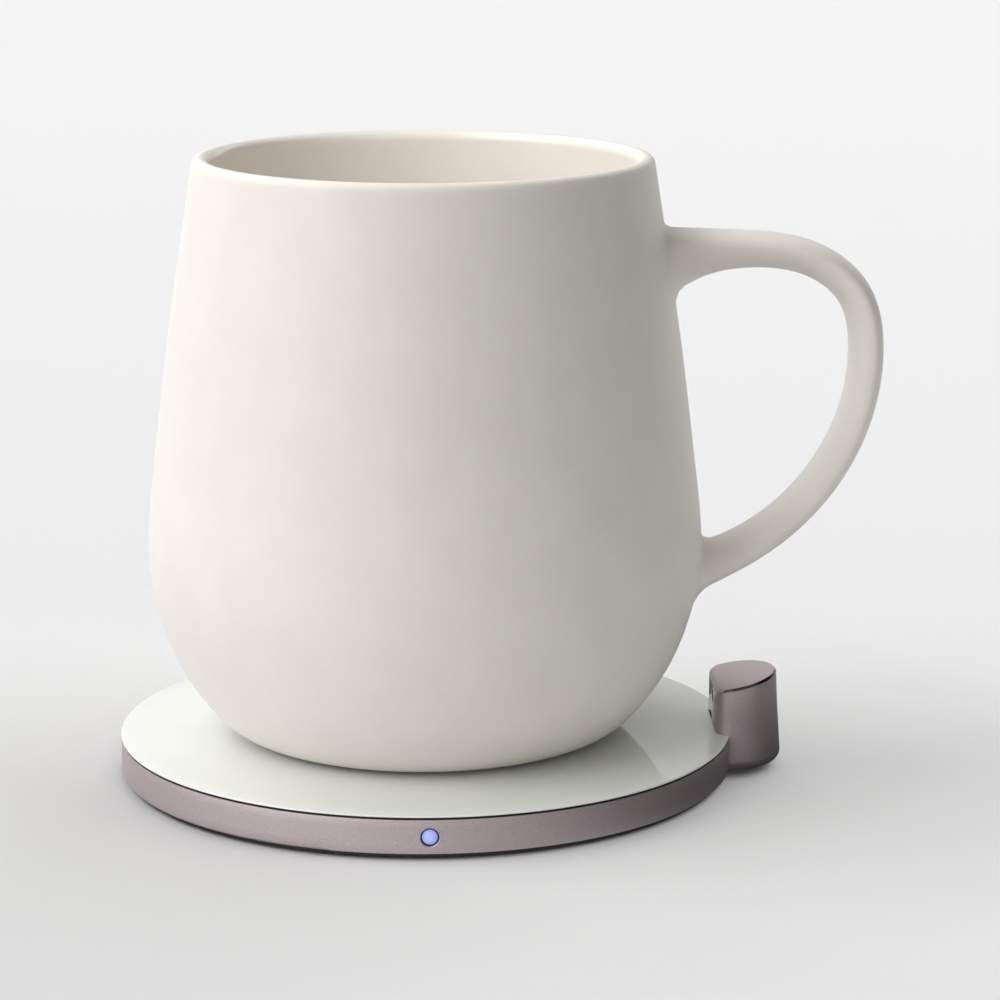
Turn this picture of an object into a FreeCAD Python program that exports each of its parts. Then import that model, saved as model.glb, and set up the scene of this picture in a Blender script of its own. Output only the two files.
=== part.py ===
"""Mug warmer: a round warming pad with a glass top and one post, and the porcelain mug that stands on it.

Millimetres. The origin is the centre of the pad's underside, on the table. +Z is up, +X points from the
pad's centre to the post and to the mug's handle, and -Y points to the lamp at the front.
"""
import os
from math import asin, cos, exp, pi, radians, sin

import FreeCAD
import Part

V = FreeCAD.Vector

# Driving dimensions of the pad
PAD_R = 49.0               # outer radius of glass and rim
GLASS_TOP = 7.0            # height of the glass above the table
GLASS_EDGE = 0.4           # visible height of the glass edge
GLASS_THICK = 1.1
SEAL_THICK = 0.25          # black line between glass and rim
RIM_BOTTOM = 1.0
RIM_WALL = 1.6
RIM_CHAMFER = 0.3
FOOT_R = 47.2
FOOT_THICK = 0.6
BASE_R = 48.1              # black base, set back under the rim
BASE_BOTTOM = 0.4
BASE_THICK = 1.1
FRAME_WALL = 1.4
FRAME_FLANGE = 0.7
FRAME_OPEN_R = 40.4        # opening in the frame's flange, for the coil and board
TAPE_THICK = 0.3
SLIP = 0.1                 # clearance between fixed pieces
GAP = 0.25                 # open black gap beside the post

# Driving dimensions of the post
POST_X = 49.3              # centre of the elliptical plan
POST_A = 8.2               # half length along X, at the table
POST_B = 9.15              # half width along Y, at the table
POST_FLAT_X = 46.35        # flat side that faces the mug
POST_CORNER_R = 2.2
POST_BOTTOM = 1.1
POST_TOP_AT_FLAT = 14.08
POST_TOP_SLOPE = 0.192     # rise of the top per mm of X
POST_DRAFT = 0.07          # shrink of the plan per mm of height
POST_FOOT_R = 1.7
POST_TOP_R = 0.45
PLATE_HALF_Y = 6.0
PLATE_TOP = 13.2
PLATE_THICK = 0.7
WINDOW_Z = 11.4
WINDOW_R = 1.1
POCKET_FLOOR = 2.9         # hollow inside the post for the sensor and its board
POCKET_TOP = 12.3
POCKET_WALL = 0.8          # shell between the flat side and the hollow
POCKET_FAR_X = 54.0
POCKET_HALF_Y = 5.4
SENSOR_WAY_LOW = 8.4       # opening from the hollow to the plate
SENSOR_WAY_HALF_Y = 3.0
RIBBON_WAY_HALF_Y = 2.4    # opening for the ribbon, at the foot of the hollow
RIBBON_WAY_TOP = 4.6
LUG_SCREW_X = 44.2         # screws that hold the post's two lugs to the base
LUG_SCREW_Y = 4.35
LUG_REACH = 2.0            # lug beyond its screw
LUG_INNER_Y = 2.7
LUG_OUTER_Y = 6.0
LUG_TOP = 4.7
SENSOR_X0 = 47.25
SENSOR_X1 = 48.3           # back of the sensor, on the face of its board
SENSOR_HALF_Y = 1.5
SENSOR_BOARD_THICK = 0.8
SENSOR_BOARD_HALF_Y = 4.6
SENSOR_BOARD_LOW = 3.4
SENSOR_BOARD_HIGH = 11.8
RIBBON_THICK = 0.15
RIBBON_HALF_Y = 2.0
RIBBON_Z = 3.3
RIBBON_RISE_X = 48.1
RIBBON_PAD_LOW = 5.6       # the ribbon is soldered to the board from here up
RIBBON_TOP = 7.0

# Driving dimensions of the mug
MUG_FOOT = 7.02            # underside of the base cap, just above the glass
CAP_R = 26.0
CAP_THICK = 0.38
RECESS_R = 24.5
RECESS_TOP = 11.2
RIM_OUTER = V(36.2, 0, 97.75)
RIM_CREST = V(34.82, 0, 99.12)
RIM_INNER = V(33.45, 0, 97.7)
MUG_OUTER = [V(27.6, 0, 7.4), V(31.5, 0, 8.8), V(35.1, 0, 12.2), V(38.0, 0, 16.1), V(42.05, 0, 25.0),
             V(43.93, 0, 34.5), V(43.05, 0, 49.2), V(40.65, 0, 68.6), V(37.75, 0, 87.9), RIM_OUTER]
MUG_INNER = [V(22.0, 0, 14.4), V(31.0, 0, 16.1), V(36.3, 0, 20.4), V(39.3, 0, 26.6), V(40.9, 0, 34.8),
             V(40.05, 0, 49.0), V(37.65, 0, 68.3), V(34.85, 0, 87.6), RIM_INNER]
HANDLE_PATH = [V(34.5, 0, 84.0), V(50.0, 0, 84.1), V(60.3, 0, 82.7), V(67.75, 0, 77.1), V(69.9, 0, 67.2),
               V(67.35, 0, 54.9), V(60.35, 0, 43.85), V(50.5, 0, 36.3), V(40.5, 0, 32.4)]
HANDLE_WIDTH = 10.0        # across, along Y
HANDLE_DEPTH = 5.25        # outer face to inner face
HANDLE_GROWTH = 0.10       # how much thicker it is at the lower end
HANDLE_OUTER_SHARE = 0.36  # part of the depth that lies outside the widest line
HANDLE_STATIONS = 30
HANDLE_SPREAD_TOP = 4.2    # how far the handle spreads where it meets the body
HANDLE_SPREAD_LOW = 1.7
QUARTER_ROUND = 0.5523     # handle length of a cubic curve that draws a quarter ellipse

# Inside the mug's base
INDUCTION_Z = 8.2          # top of the cap's plug
MUG_FERRITE_TOP = 9.0
MUG_COIL_TOP = 10.2
MUG_COIL_IN_R = 8.0

# Lamp and inlet
LAMP_Z = 3.65
LAMP_HOLE_R = 1.4
LAMP_LENS_R = 1.18
LAMP_DOME_R = 2.4
LAMP_PIPE_END = 40.4       # distance of the pipe's inner end from the pad's centre
INLET_W = 8.94
INLET_H = 3.26
INLET_DEPTH = 7.3
INLET_Z = 3.65
INLET_WALL = 0.3
INLET_BACK_WALL = 0.8
INLET_SET_BACK = 0.45      # mouth of the inlet behind the rim's face
TONGUE_HALF_X = 3.35
TONGUE_HALF_Z = 0.35
CONTACTS_PER_SIDE = 12
CONTACT_PITCH = 0.5
CONTACT_WIDTH = 0.24
CONTACT_THICK = 0.05

# Inside the pad
BOARD_R = 39.8
BOARD_THICK = 0.8
BOARD_SUPPORT_OUT_R = 37.5  # low ring of the base that the board lies on
BOARD_SUPPORT_IN_R = 36.0
COIL_OUT_R = 25.0
COIL_IN_R = 9.5
FERRITE_R = 26.3
FERRITE_IN_R = 4.0
SHIELD_THICK = 0.15
FERRITE_THICK = 0.8
COIL_THICK = 1.4
COVER_WALL = 1.0
COVER_THICK = 0.3
HEAT_PAD_R = 4.6
HEAT_PAD_THICK = 0.3
CHIP_HIGH = 0.9
PARTS_R = 34.0             # circle on which the board's larger parts stand
SOCKET_X0 = 34.8           # ribbon's socket on the board
SOCKET_X1 = 37.6
SCREW_R = 0.8
SCREW_HEAD_R = 1.5
SCREW_HEAD_HIGH = 0.7
SCREW_SINK = 0.2           # head above the base's underside
SCREW_TOP = 4.8
SCREW_BITE = 0.02          # play between thread and bore
DRIVE_HALF = 0.7           # cross recess in the head
DRIVE_WIDTH = 0.3
DRIVE_DEPTH = 0.3
BOSS_AT_R = 43.2
BOSS_R = 2.0

GLASS_BOTTOM = GLASS_TOP - GLASS_THICK
RIM_TOP = GLASS_TOP - GLASS_EDGE - SEAL_THICK
RIM_IN_R = PAD_R - RIM_WALL
FRAME_OUT_R = RIM_IN_R - 0.2
FRAME_TOP = GLASS_BOTTOM - TAPE_THICK
BASE_TOP = BASE_BOTTOM + BASE_THICK
BOARD_BOTTOM = BASE_TOP + 0.4
BOARD_TOP = BOARD_BOTTOM + BOARD_THICK


def cylinder(radius, low, high, x=0.0, y=0.0):
    return Part.makeCylinder(radius, high - low, V(x, y, low))


def ring(outer, inner, low, high):
    return cylinder(outer, low, high).cut(cylinder(inner, low - 1, high + 1))


def box(x0, x1, y0, y1, z0, z1):
    return Part.makeBox(x1 - x0, y1 - y0, z1 - z0, V(x0, y0, z0))


def rod_y(radius, y0, y1, x, z):
    return Part.makeCylinder(radius, y1 - y0, V(x, y0, z), V(0, 1, 0))


def rod_x(radius, x0, x1, y, z):
    return Part.makeCylinder(radius, x1 - x0, V(x0, y, z), V(1, 0, 0))


def fuse(shapes):
    whole = shapes[0]
    for shape in shapes[1:]:
        whole = whole.fuse(shape)
    return whole.removeSplitter()


def at_polar(radius, angle_deg):
    return radius * cos(radians(angle_deg)), radius * sin(radians(angle_deg))


def save(name, shape):
    solids = shape.Solids
    whole = solids[0] if len(solids) == 1 else Part.makeCompound(solids)
    whole.exportStep("parts/" + name + ".step")
    print(name, len(solids), round(whole.Volume, 1), whole.isValid())


# Post

def post_plan(z, grow):
    """Outline at height z: an ellipse cut by the flat side, with round corners, grown by a clearance."""
    a = POST_A + grow - POST_DRAFT * z
    b = POST_B + grow - POST_DRAFT * z
    flat = POST_FLAT_X - grow
    ellipse = Part.Ellipse(V(POST_X, b, z), V(POST_X + a, 0, z), V(POST_X, 0, z))
    start = asin((flat - POST_X) / a)
    round_side = Part.ArcOfEllipse(ellipse, start, pi - start)
    flat_side = Part.LineSegment(round_side.EndPoint, round_side.StartPoint)
    return Part.Wire([round_side.toShape(), flat_side.toShape()])


def post_block(low, high, grow):
    """Upright block on the post's plan, with its two corners beside the flat side rounded."""
    block = Part.makeLoft([post_plan(low, grow), post_plan(high, grow)], True, True)
    corners = [edge for edge in block.Edges
               if abs(edge.CenterOfMass.x - POST_FLAT_X + grow) < 0.2 and abs(edge.CenterOfMass.y) > 6]
    return block.makeFillet(POST_CORNER_R, corners)


def post_body():
    """Outer form of the post: sloping top, rounded foot edge and a small round on the top edge."""
    top_far = POST_TOP_AT_FLAT + 20 * POST_TOP_SLOPE
    block = post_block(POST_BOTTOM, top_far, 0.0)
    outline = Part.makePolygon([V(POST_FLAT_X - 5, -20, POST_TOP_AT_FLAT - 5 * POST_TOP_SLOPE),
                                V(POST_FLAT_X + 20, -20, top_far),
                                V(POST_FLAT_X + 20, -20, 40),
                                V(POST_FLAT_X - 5, -20, 40),
                                V(POST_FLAT_X - 5, -20, POST_TOP_AT_FLAT - 5 * POST_TOP_SLOPE)])
    block = block.cut(Part.Face(outline).extrude(V(0, 40, 0)))
    foot = [edge for edge in block.Edges if edge.BoundBox.ZMax < POST_BOTTOM + 0.01]
    block = block.makeFillet(POST_FOOT_R, foot)
    crest = [edge for edge in block.Edges if edge.BoundBox.ZMin > POST_TOP_AT_FLAT - 0.6]
    return block.makeFillet(POST_TOP_R, crest)


def post_shell():
    play = 0.08
    shell = post_body()
    pocket = box(POST_FLAT_X + POCKET_WALL, POCKET_FAR_X, -POCKET_HALF_Y, POCKET_HALF_Y,
                 POCKET_FLOOR, POCKET_TOP)
    plate_seat = box(POST_FLAT_X - 1, POST_FLAT_X + PLATE_THICK + 0.1, -PLATE_HALF_Y - play,
                     PLATE_HALF_Y + play, GLASS_TOP - 0.2, PLATE_TOP + play)
    sensor_way = box(POST_FLAT_X + 0.5, POST_FLAT_X + 1.0, -SENSOR_WAY_HALF_Y, SENSOR_WAY_HALF_Y,
                     SENSOR_WAY_LOW, POCKET_TOP)
    ribbon_way = box(POST_FLAT_X - 1, POST_FLAT_X + 1.0, -RIBBON_WAY_HALF_Y, RIBBON_WAY_HALF_Y,
                     POCKET_FLOOR, RIBBON_WAY_TOP)
    shell = shell.cut(pocket).cut(plate_seat).cut(sensor_way).cut(ribbon_way)
    lugs = []
    for side in (-1, 1):
        low, high = sorted((side * LUG_INNER_Y, side * LUG_OUTER_Y))
        lug = box(LUG_SCREW_X - LUG_REACH, POST_FLAT_X + 0.4, low, high, BASE_TOP + SLIP, LUG_TOP)
        bore = cylinder(SCREW_R + SCREW_BITE, 0, LUG_TOP - 0.5, LUG_SCREW_X, side * LUG_SCREW_Y)
        lugs.append(lug.cut(bore))
    return fuse([shell] + lugs)


def post_face_plate():
    plate = box(POST_FLAT_X, POST_FLAT_X + PLATE_THICK, -PLATE_HALF_Y, PLATE_HALF_Y,
                GLASS_TOP + 0.02, PLATE_TOP)
    upper = [edge for edge in plate.Edges
             if edge.BoundBox.ZMin > PLATE_TOP - 0.1 and edge.BoundBox.XMax < POST_FLAT_X + 0.1]
    plate = plate.makeFillet(0.25, upper)
    return plate.cut(rod_x(WINDOW_R + 0.03, POST_FLAT_X - 1, POST_FLAT_X + 2, 0, WINDOW_Z))


def post_pieces():
    window = rod_x(WINDOW_R, POST_FLAT_X + 0.1, POST_FLAT_X + PLATE_THICK, 0, WINDOW_Z)
    sensor = box(SENSOR_X0, SENSOR_X1, -SENSOR_HALF_Y, SENSOR_HALF_Y, WINDOW_Z - 1.6, WINDOW_Z + 0.8)
    board = box(SENSOR_X1, SENSOR_X1 + SENSOR_BOARD_THICK, -SENSOR_BOARD_HALF_Y, SENSOR_BOARD_HALF_Y,
                SENSOR_BOARD_LOW, SENSOR_BOARD_HIGH)
    screws = [screw(LUG_SCREW_X, side * LUG_SCREW_Y, LUG_TOP - 0.6) for side in (-1, 1)]
    return {"sensor_window": window, "post_sensor": sensor, "post_sensor_board": board,
            "post_screws": Part.makeCompound(screws)}


def sensor_ribbon():
    """Flat flexible strip from the foot of the post's board to its socket on the main board."""
    half = RIBBON_HALF_Y
    rise_x = RIBBON_RISE_X - RIBBON_THICK
    run = box(SOCKET_X1, RIBBON_RISE_X, -half, half, RIBBON_Z, RIBBON_Z + RIBBON_THICK)
    rise = box(rise_x, RIBBON_RISE_X, -half, half, RIBBON_Z, RIBBON_TOP)
    pad = box(rise_x, SENSOR_X1, -half, half, RIBBON_PAD_LOW, RIBBON_TOP)
    return fuse([run, rise, pad])


# Pad

def screw(x, y, top):
    """Countersunk screw, driven up from the underside of the base."""
    head_z = BASE_BOTTOM + SCREW_SINK
    head = Part.makeCone(SCREW_HEAD_R, SCREW_R, SCREW_HEAD_HIGH, V(x, y, head_z))
    shank = cylinder(SCREW_R, head_z, top, x, y)
    thin = DRIVE_WIDTH / 2
    slot = box(x - DRIVE_HALF, x + DRIVE_HALF, y - thin, y + thin, BASE_BOTTOM, head_z + DRIVE_DEPTH)
    cross = box(x - thin, x + thin, y - DRIVE_HALF, y + DRIVE_HALF, BASE_BOTTOM, head_z + DRIVE_DEPTH)
    return head.fuse(shank).cut(slot).cut(cross)


def screw_places():
    return [at_polar(BOSS_AT_R, angle) for angle in (50, 130, 230, 310)]


def glass_top():
    flange = cylinder(PAD_R, GLASS_TOP - GLASS_EDGE, GLASS_TOP)
    edges = [edge for edge in flange.Edges
             if edge.BoundBox.ZMin > GLASS_TOP - 0.01 and edge.BoundBox.XMin < 0]
    flange = flange.makeFillet(0.15, edges)
    step = cylinder(RIM_IN_R - 0.25, GLASS_BOTTOM, GLASS_TOP - GLASS_EDGE)
    return fuse([flange, step]).cut(post_block(GLASS_BOTTOM - 1, GLASS_TOP + 1, SLIP))


def edge_seal():
    return ring(PAD_R - 0.25, RIM_IN_R - 0.2, RIM_TOP, RIM_TOP + SEAL_THICK).cut(
        post_block(RIM_TOP - 1, GLASS_TOP + 1, SLIP))


def rim_ring():
    rim = ring(PAD_R, RIM_IN_R, RIM_BOTTOM, RIM_TOP)
    edges = [edge for edge in rim.Edges
             if edge.BoundBox.ZMax < RIM_BOTTOM + 0.01 and edge.BoundBox.XMin < -PAD_R + 0.1]
    rim = rim.makeChamfer(RIM_CHAMFER, edges)
    rim = rim.cut(rod_y(LAMP_HOLE_R, -PAD_R - 1, -RIM_IN_R + 1, 0, LAMP_Z))
    rim = rim.cut(inlet_block(0.25, RIM_IN_R - 2, PAD_R + 1))
    return rim.cut(post_block(0, GLASS_TOP + 1, GAP))


def base_plate():
    plate = fuse([cylinder(BASE_R, BASE_BOTTOM, RIM_BOTTOM), cylinder(FRAME_OUT_R, RIM_BOTTOM, BASE_TOP),
                  ring(BOARD_SUPPORT_OUT_R, BOARD_SUPPORT_IN_R, BASE_TOP, BOARD_BOTTOM)])
    cradle = box(-INLET_W / 2, INLET_W / 2, 41.2, 45.4, BASE_TOP - 0.2, INLET_Z - INLET_H / 2)
    plate = plate.fuse(cradle).cut(cylinder(FOOT_R + SLIP, BASE_BOTTOM - 1, FOOT_THICK))
    for x, y in screw_places() + [(LUG_SCREW_X, LUG_SCREW_Y), (LUG_SCREW_X, -LUG_SCREW_Y)]:
        plate = plate.cut(cylinder(SCREW_R + 0.05, 0, BASE_TOP + 1, x, y))
        plate = plate.cut(cylinder(SCREW_HEAD_R + 0.1, 0, BASE_BOTTOM + 0.9, x, y))
    return plate.cut(post_block(RIM_BOTTOM, 5, GAP))


def inner_frame():
    wall = ring(FRAME_OUT_R, FRAME_OUT_R - FRAME_WALL, BASE_TOP, FRAME_TOP)
    flange = ring(FRAME_OUT_R, FRAME_OPEN_R, FRAME_TOP - FRAME_FLANGE, FRAME_TOP)
    frame = wall.fuse(flange)
    for x, y in screw_places():
        frame = frame.fuse(cylinder(BOSS_R, BASE_TOP, FRAME_TOP - SLIP, x, y))
    frame = frame.removeSplitter()
    for x, y in screw_places():
        frame = frame.cut(cylinder(SCREW_R + SCREW_BITE, 0, SCREW_TOP + SLIP, x, y))
    frame = frame.cut(rod_y(LAMP_LENS_R + 0.1, -PAD_R, -38, 0, LAMP_Z))
    frame = frame.cut(inlet_block(0.1, 38, PAD_R))
    frame = frame.cut(box(41.5, PAD_R, -6.4, 6.4, BASE_TOP - 1, LUG_TOP + 0.1))
    return frame.cut(post_block(0, GLASS_TOP + 1, GAP))


def lamp_pieces():
    bezel = rod_y(LAMP_HOLE_R, -PAD_R + 0.1, -RIM_IN_R, 0, LAMP_Z).cut(
        rod_y(LAMP_LENS_R + 0.02, -PAD_R, -RIM_IN_R + 1, 0, LAMP_Z))
    dome = Part.makeSphere(LAMP_DOME_R, V(0, -PAD_R + LAMP_DOME_R - 0.05, LAMP_Z))
    pipe = rod_y(LAMP_LENS_R, -PAD_R - 0.2, -LAMP_PIPE_END, 0, LAMP_Z)
    front = pipe.common(dome)
    pipe = fuse([front, rod_y(LAMP_LENS_R, -PAD_R + 0.6, -LAMP_PIPE_END, 0, LAMP_Z)])
    emitter = box(-1.0, 1.0, -40.35, -38.6, BOARD_TOP, LAMP_Z + 0.9).cut(
        rod_y(0.6, -41, -39.9, 0, LAMP_Z))
    return {"lamp_ring": bezel, "light_pipe": pipe, "lamp_emitter": emitter}


def inlet_block(grow, y0, y1):
    """Oblong with fully round ends, the outline of the power inlet, from y0 to y1."""
    half_h = INLET_H / 2 + grow
    half_straight = INLET_W / 2 - INLET_H / 2
    middle = box(-half_straight, half_straight, y0, y1, INLET_Z - half_h, INLET_Z + half_h)
    left = rod_y(half_h, y0, y1, -half_straight, INLET_Z)
    right = rod_y(half_h, y0, y1, half_straight, INLET_Z)
    return fuse([middle, left, right])


def inlet_pieces():
    mouth = PAD_R - INLET_SET_BACK
    back = mouth - INLET_DEPTH
    floor = back + INLET_BACK_WALL
    root = floor + 1.5
    half_x, half_z = TONGUE_HALF_X, TONGUE_HALF_Z
    shell = inlet_block(0.0, back, mouth).cut(inlet_block(-INLET_WALL, floor, mouth + 1))
    tongue = fuse([box(-half_x, half_x, floor, mouth - 1.2, INLET_Z - half_z, INLET_Z + half_z),
                   box(-half_x - 0.05, half_x + 0.05, floor, root, INLET_Z - 1.1, INLET_Z + 1.1)])
    contacts = []
    for side in (-1, 1):
        z0, z1 = sorted((INLET_Z + side * half_z, INLET_Z + side * (half_z + CONTACT_THICK)))
        for index in range(CONTACTS_PER_SIDE):
            x = (index - (CONTACTS_PER_SIDE - 1) / 2) * CONTACT_PITCH
            contacts.append(box(x - CONTACT_WIDTH / 2, x + CONTACT_WIDTH / 2, root, mouth - 1.6, z0, z1))
    tail = box(-half_x - 0.05, half_x + 0.05, 38.4, back, BOARD_TOP, BOARD_TOP + 0.6)
    return {"inlet_shell": shell, "inlet_tongue": tongue,
            "inlet_contacts": Part.makeCompound(contacts), "inlet_solder_tail": tail}


def board_pieces():
    board = cylinder(BOARD_R, BOARD_BOTTOM, BOARD_TOP)
    chip_x, chip_y = at_polar(33.5, 200)
    controller = box(chip_x - 2.5, chip_x + 2.5, chip_y - 2.5, chip_y + 2.5,
                     BOARD_TOP, BOARD_TOP + CHIP_HIGH)
    switches = []
    for angle in (125, 140, 155, 170):
        x, y = at_polar(PARTS_R + 0.5, angle)
        switches.append(box(x - 1.65, x + 1.65, y - 1.65, y + 1.65, BOARD_TOP, BOARD_TOP + CHIP_HIGH))
    capacitors = []
    for angle in (28, 37, 46, 55, 64, 73):
        x, y = at_polar(PARTS_R, angle)
        capacitors.append(box(x - 1.6, x + 1.6, y - 1.25, y + 1.25, BOARD_TOP, BOARD_TOP + 1.7))
    choke_x, choke_y = at_polar(PARTS_R, 225)
    choke = box(choke_x - 3, choke_x + 3, choke_y - 3, choke_y + 3, BOARD_TOP, BOARD_TOP + 2.2)
    upright = [edge for edge in choke.Edges if edge.BoundBox.ZLength > 1]
    choke = choke.makeFillet(1.0, upright)
    socket = box(SOCKET_X0, SOCKET_X1, -2.9, 2.9, BOARD_TOP, BOARD_TOP + 1.1)
    return {"main_board": board, "controller_chip": controller,
            "switching_chips": Part.makeCompound(switches),
            "resonance_capacitors": Part.makeCompound(capacitors),
            "input_choke": choke, "ribbon_socket": socket}


def coil_pieces():
    ferrite_low = BOARD_TOP + SHIELD_THICK
    coil_low = ferrite_low + FERRITE_THICK
    cover_low = coil_low + COIL_THICK + 0.05
    cover_top = cover_low + COVER_THICK
    cover_in_r = FERRITE_R + 0.2
    cover_out_r = cover_in_r + COVER_WALL
    plug_top = BOARD_TOP + 1.5
    heat_pad_low = GLASS_BOTTOM - HEAT_PAD_THICK
    shield = ring(FERRITE_R, FERRITE_IN_R, BOARD_TOP, ferrite_low)
    ferrite = ring(FERRITE_R, FERRITE_IN_R, ferrite_low, coil_low)
    coil = ring(COIL_OUT_R, COIL_IN_R, coil_low, coil_low + COIL_THICK)
    wall = ring(cover_out_r, cover_in_r, BOARD_TOP, cover_low)
    cover = wall.fuse(ring(cover_out_r, 3.2, cover_low, cover_top)).removeSplitter()
    foam = ring(cover_out_r, HEAT_PAD_R + 0.6, cover_top, GLASS_BOTTOM)
    plug = cylinder(2.8, BOARD_TOP, plug_top)
    sensor = cylinder(2.0, plug_top, heat_pad_low)
    heat_pad = cylinder(HEAT_PAD_R, heat_pad_low, GLASS_BOTTOM)
    return {"shield_sheet": shield, "pad_ferrite": ferrite, "sending_coil": coil, "coil_cover": cover,
            "heat_insulating_foam": foam, "sensor_support": plug, "temperature_sensor": sensor,
            "sensor_heat_pad": heat_pad}


def pad_pieces():
    pieces = {"foot_sheet": cylinder(FOOT_R, 0, FOOT_THICK),
              "base_plate": base_plate(),
              "base_screws": Part.makeCompound([screw(x, y, SCREW_TOP) for x, y in screw_places()]),
              "inner_frame": inner_frame(),
              "rim_ring": rim_ring(),
              "edge_seal": edge_seal(),
              "glass_tape": ring(RIM_IN_R - 0.6, FRAME_OPEN_R + 0.5, FRAME_TOP, GLASS_BOTTOM).cut(
                  post_block(0, GLASS_TOP + 1, 0.5)),
              "glass_top": glass_top(),
              "post_shell": post_shell(),
              "post_face_plate": post_face_plate(),
              "sensor_ribbon": sensor_ribbon()}
    for group in (post_pieces(), lamp_pieces(), inlet_pieces(), board_pieces(), coil_pieces()):
        pieces.update(group)
    return pieces


# Mug

def curve(points, start_tangent=None):
    spline = Part.BSplineCurve()
    if start_tangent is None:
        spline.interpolate(points)
    else:
        tangents = [start_tangent] + [V(0, 0, 0)] * (len(points) - 1)
        flags = [True] + [False] * (len(points) - 1)
        spline.interpolate(Points=points, Tangents=tangents, TangentFlags=flags)
    return spline


def line(a, b):
    return Part.LineSegment(a, b).toShape()


def turned(edges):
    return Part.Face(Part.Wire(edges)).revolve(V(0, 0, 0), V(0, 0, 1), 360)


def mug_outer_solid():
    """The mug's outer form with no hollow, used to cut the handle's ends to it."""
    start = MUG_OUTER[0]
    axis_low = V(0, 0, start.z)
    axis_top = V(0, 0, RIM_CREST.z)
    side = curve(MUG_OUTER, V(1, 0, 0.12)).toShape()
    return turned([line(axis_low, start), side, Part.Arc(RIM_OUTER, V(35.8, 0, 98.74), RIM_CREST).toShape(),
                   line(RIM_CREST, axis_top), line(axis_top, axis_low)])


def mug_shell():
    start = MUG_OUTER[0]
    seat = V(RECESS_R, 0, start.z)
    recess = V(RECESS_R, 0, RECESS_TOP)
    recess_axis = V(0, 0, RECESS_TOP)
    floor = MUG_INNER[0]
    floor_axis = V(0, 0, floor.z)
    side = curve(MUG_OUTER, V(1, 0, 0.12)).toShape()
    lip = Part.Arc(RIM_OUTER, RIM_CREST, RIM_INNER).toShape()
    inside = curve(MUG_INNER, V(1, 0, 0)).toShape()
    return turned([line(seat, start), side, lip, inside, line(floor, floor_axis),
                   line(floor_axis, recess_axis), line(recess_axis, recess), line(recess, seat)])


def handle_section(centre, tangent, half_width, outer, inner):
    """Egg-shaped section: the widest line lies nearer the outer face than the inner face."""
    out = V(tangent.z, 0, -tangent.x) * -1
    wide_a = centre + V(0, half_width, 0)
    wide_b = centre - V(0, half_width, 0)
    edges = []
    for start, end, direction, depth in ((wide_a, wide_b, out, outer), (wide_b, wide_a, out * -1, inner)):
        mid = centre + direction * depth
        corner = half_width * QUARTER_ROUND
        lift = direction * (depth * QUARTER_ROUND)
        side = (end - start) * (1 / (2 * half_width))
        first = Part.BezierCurve()
        first.setPoles([start, start + lift, mid - side * corner, mid])
        second = Part.BezierCurve()
        second.setPoles([mid, mid + side * corner, end + lift, end])
        edges.extend([first.toShape(), second.toShape()])
    return Part.Wire(edges)


def mug_handle():
    """Handle swept on its path, spread where it runs into the body, and cut to the body's outside."""
    path = curve(HANDLE_PATH)
    shape = path.toShape()
    length = shape.Length
    sections = []
    for index in range(HANDLE_STATIONS + 1):
        share = 0.5 - 0.5 * cos(pi * index / HANDLE_STATIONS)
        along = share * length
        parameter = shape.getParameterByLength(along)
        centre = path.value(parameter)
        tangent = path.tangent(parameter)[0]
        tangent.normalize()
        from_top = max(along - 4.0, 0)
        from_low = max(length - along - 3.0, 0)
        spread_top = HANDLE_SPREAD_TOP * exp(-(from_top / 3.9) ** 1.3)
        spread_low = HANDLE_SPREAD_LOW * exp(-(from_low / 1.9) ** 1.4)
        depth = HANDLE_DEPTH * (1 + HANDLE_GROWTH * share)
        outer = depth * HANDLE_OUTER_SHARE + 0.15 * spread_top + 0.9 * spread_low
        inner = depth * (1 - HANDLE_OUTER_SHARE) + 1.5 * spread_top + 0.4 * spread_low
        half = HANDLE_WIDTH / 2 + 0.3 * (spread_top + spread_low)
        shift = V(-tangent.z, 0, tangent.x) * (depth * (0.5 - HANDLE_OUTER_SHARE))
        sections.append(handle_section(centre + shift, tangent, half, outer, inner))
    handle = Part.makeLoft(sections, True, False)
    return handle.cut(mug_outer_solid())


def mug_pieces():
    cap = fuse([cylinder(CAP_R, MUG_FOOT, MUG_FOOT + CAP_THICK),
                cylinder(RECESS_R - SLIP, MUG_FOOT + CAP_THICK, INDUCTION_Z)])
    return {"mug_body": mug_shell(), "mug_handle": mug_handle(), "mug_base_cap": cap,
            "mug_ferrite": cylinder(RECESS_R - 0.8, INDUCTION_Z, MUG_FERRITE_TOP),
            "receiving_coil": ring(RECESS_R - 1.2, MUG_COIL_IN_R, MUG_FERRITE_TOP, MUG_COIL_TOP),
            "heating_disc": cylinder(RECESS_R - 0.5, MUG_COIL_TOP, RECESS_TOP)}


def main():
    os.makedirs("parts", exist_ok=True)
    for name, shape in {**pad_pieces(), **mug_pieces()}.items():
        save(name, shape)


main()
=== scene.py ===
"""Looks of a mug warmer: a glass-topped warming pad with an anodised rim and post, and its porcelain mug.

Lengths are written in real millimetres; MM turns them into metres where meshes and shaders are made.
"""
import math

import bmesh
import bpy
import numpy as np
from mathutils import Matrix, Vector


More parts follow.
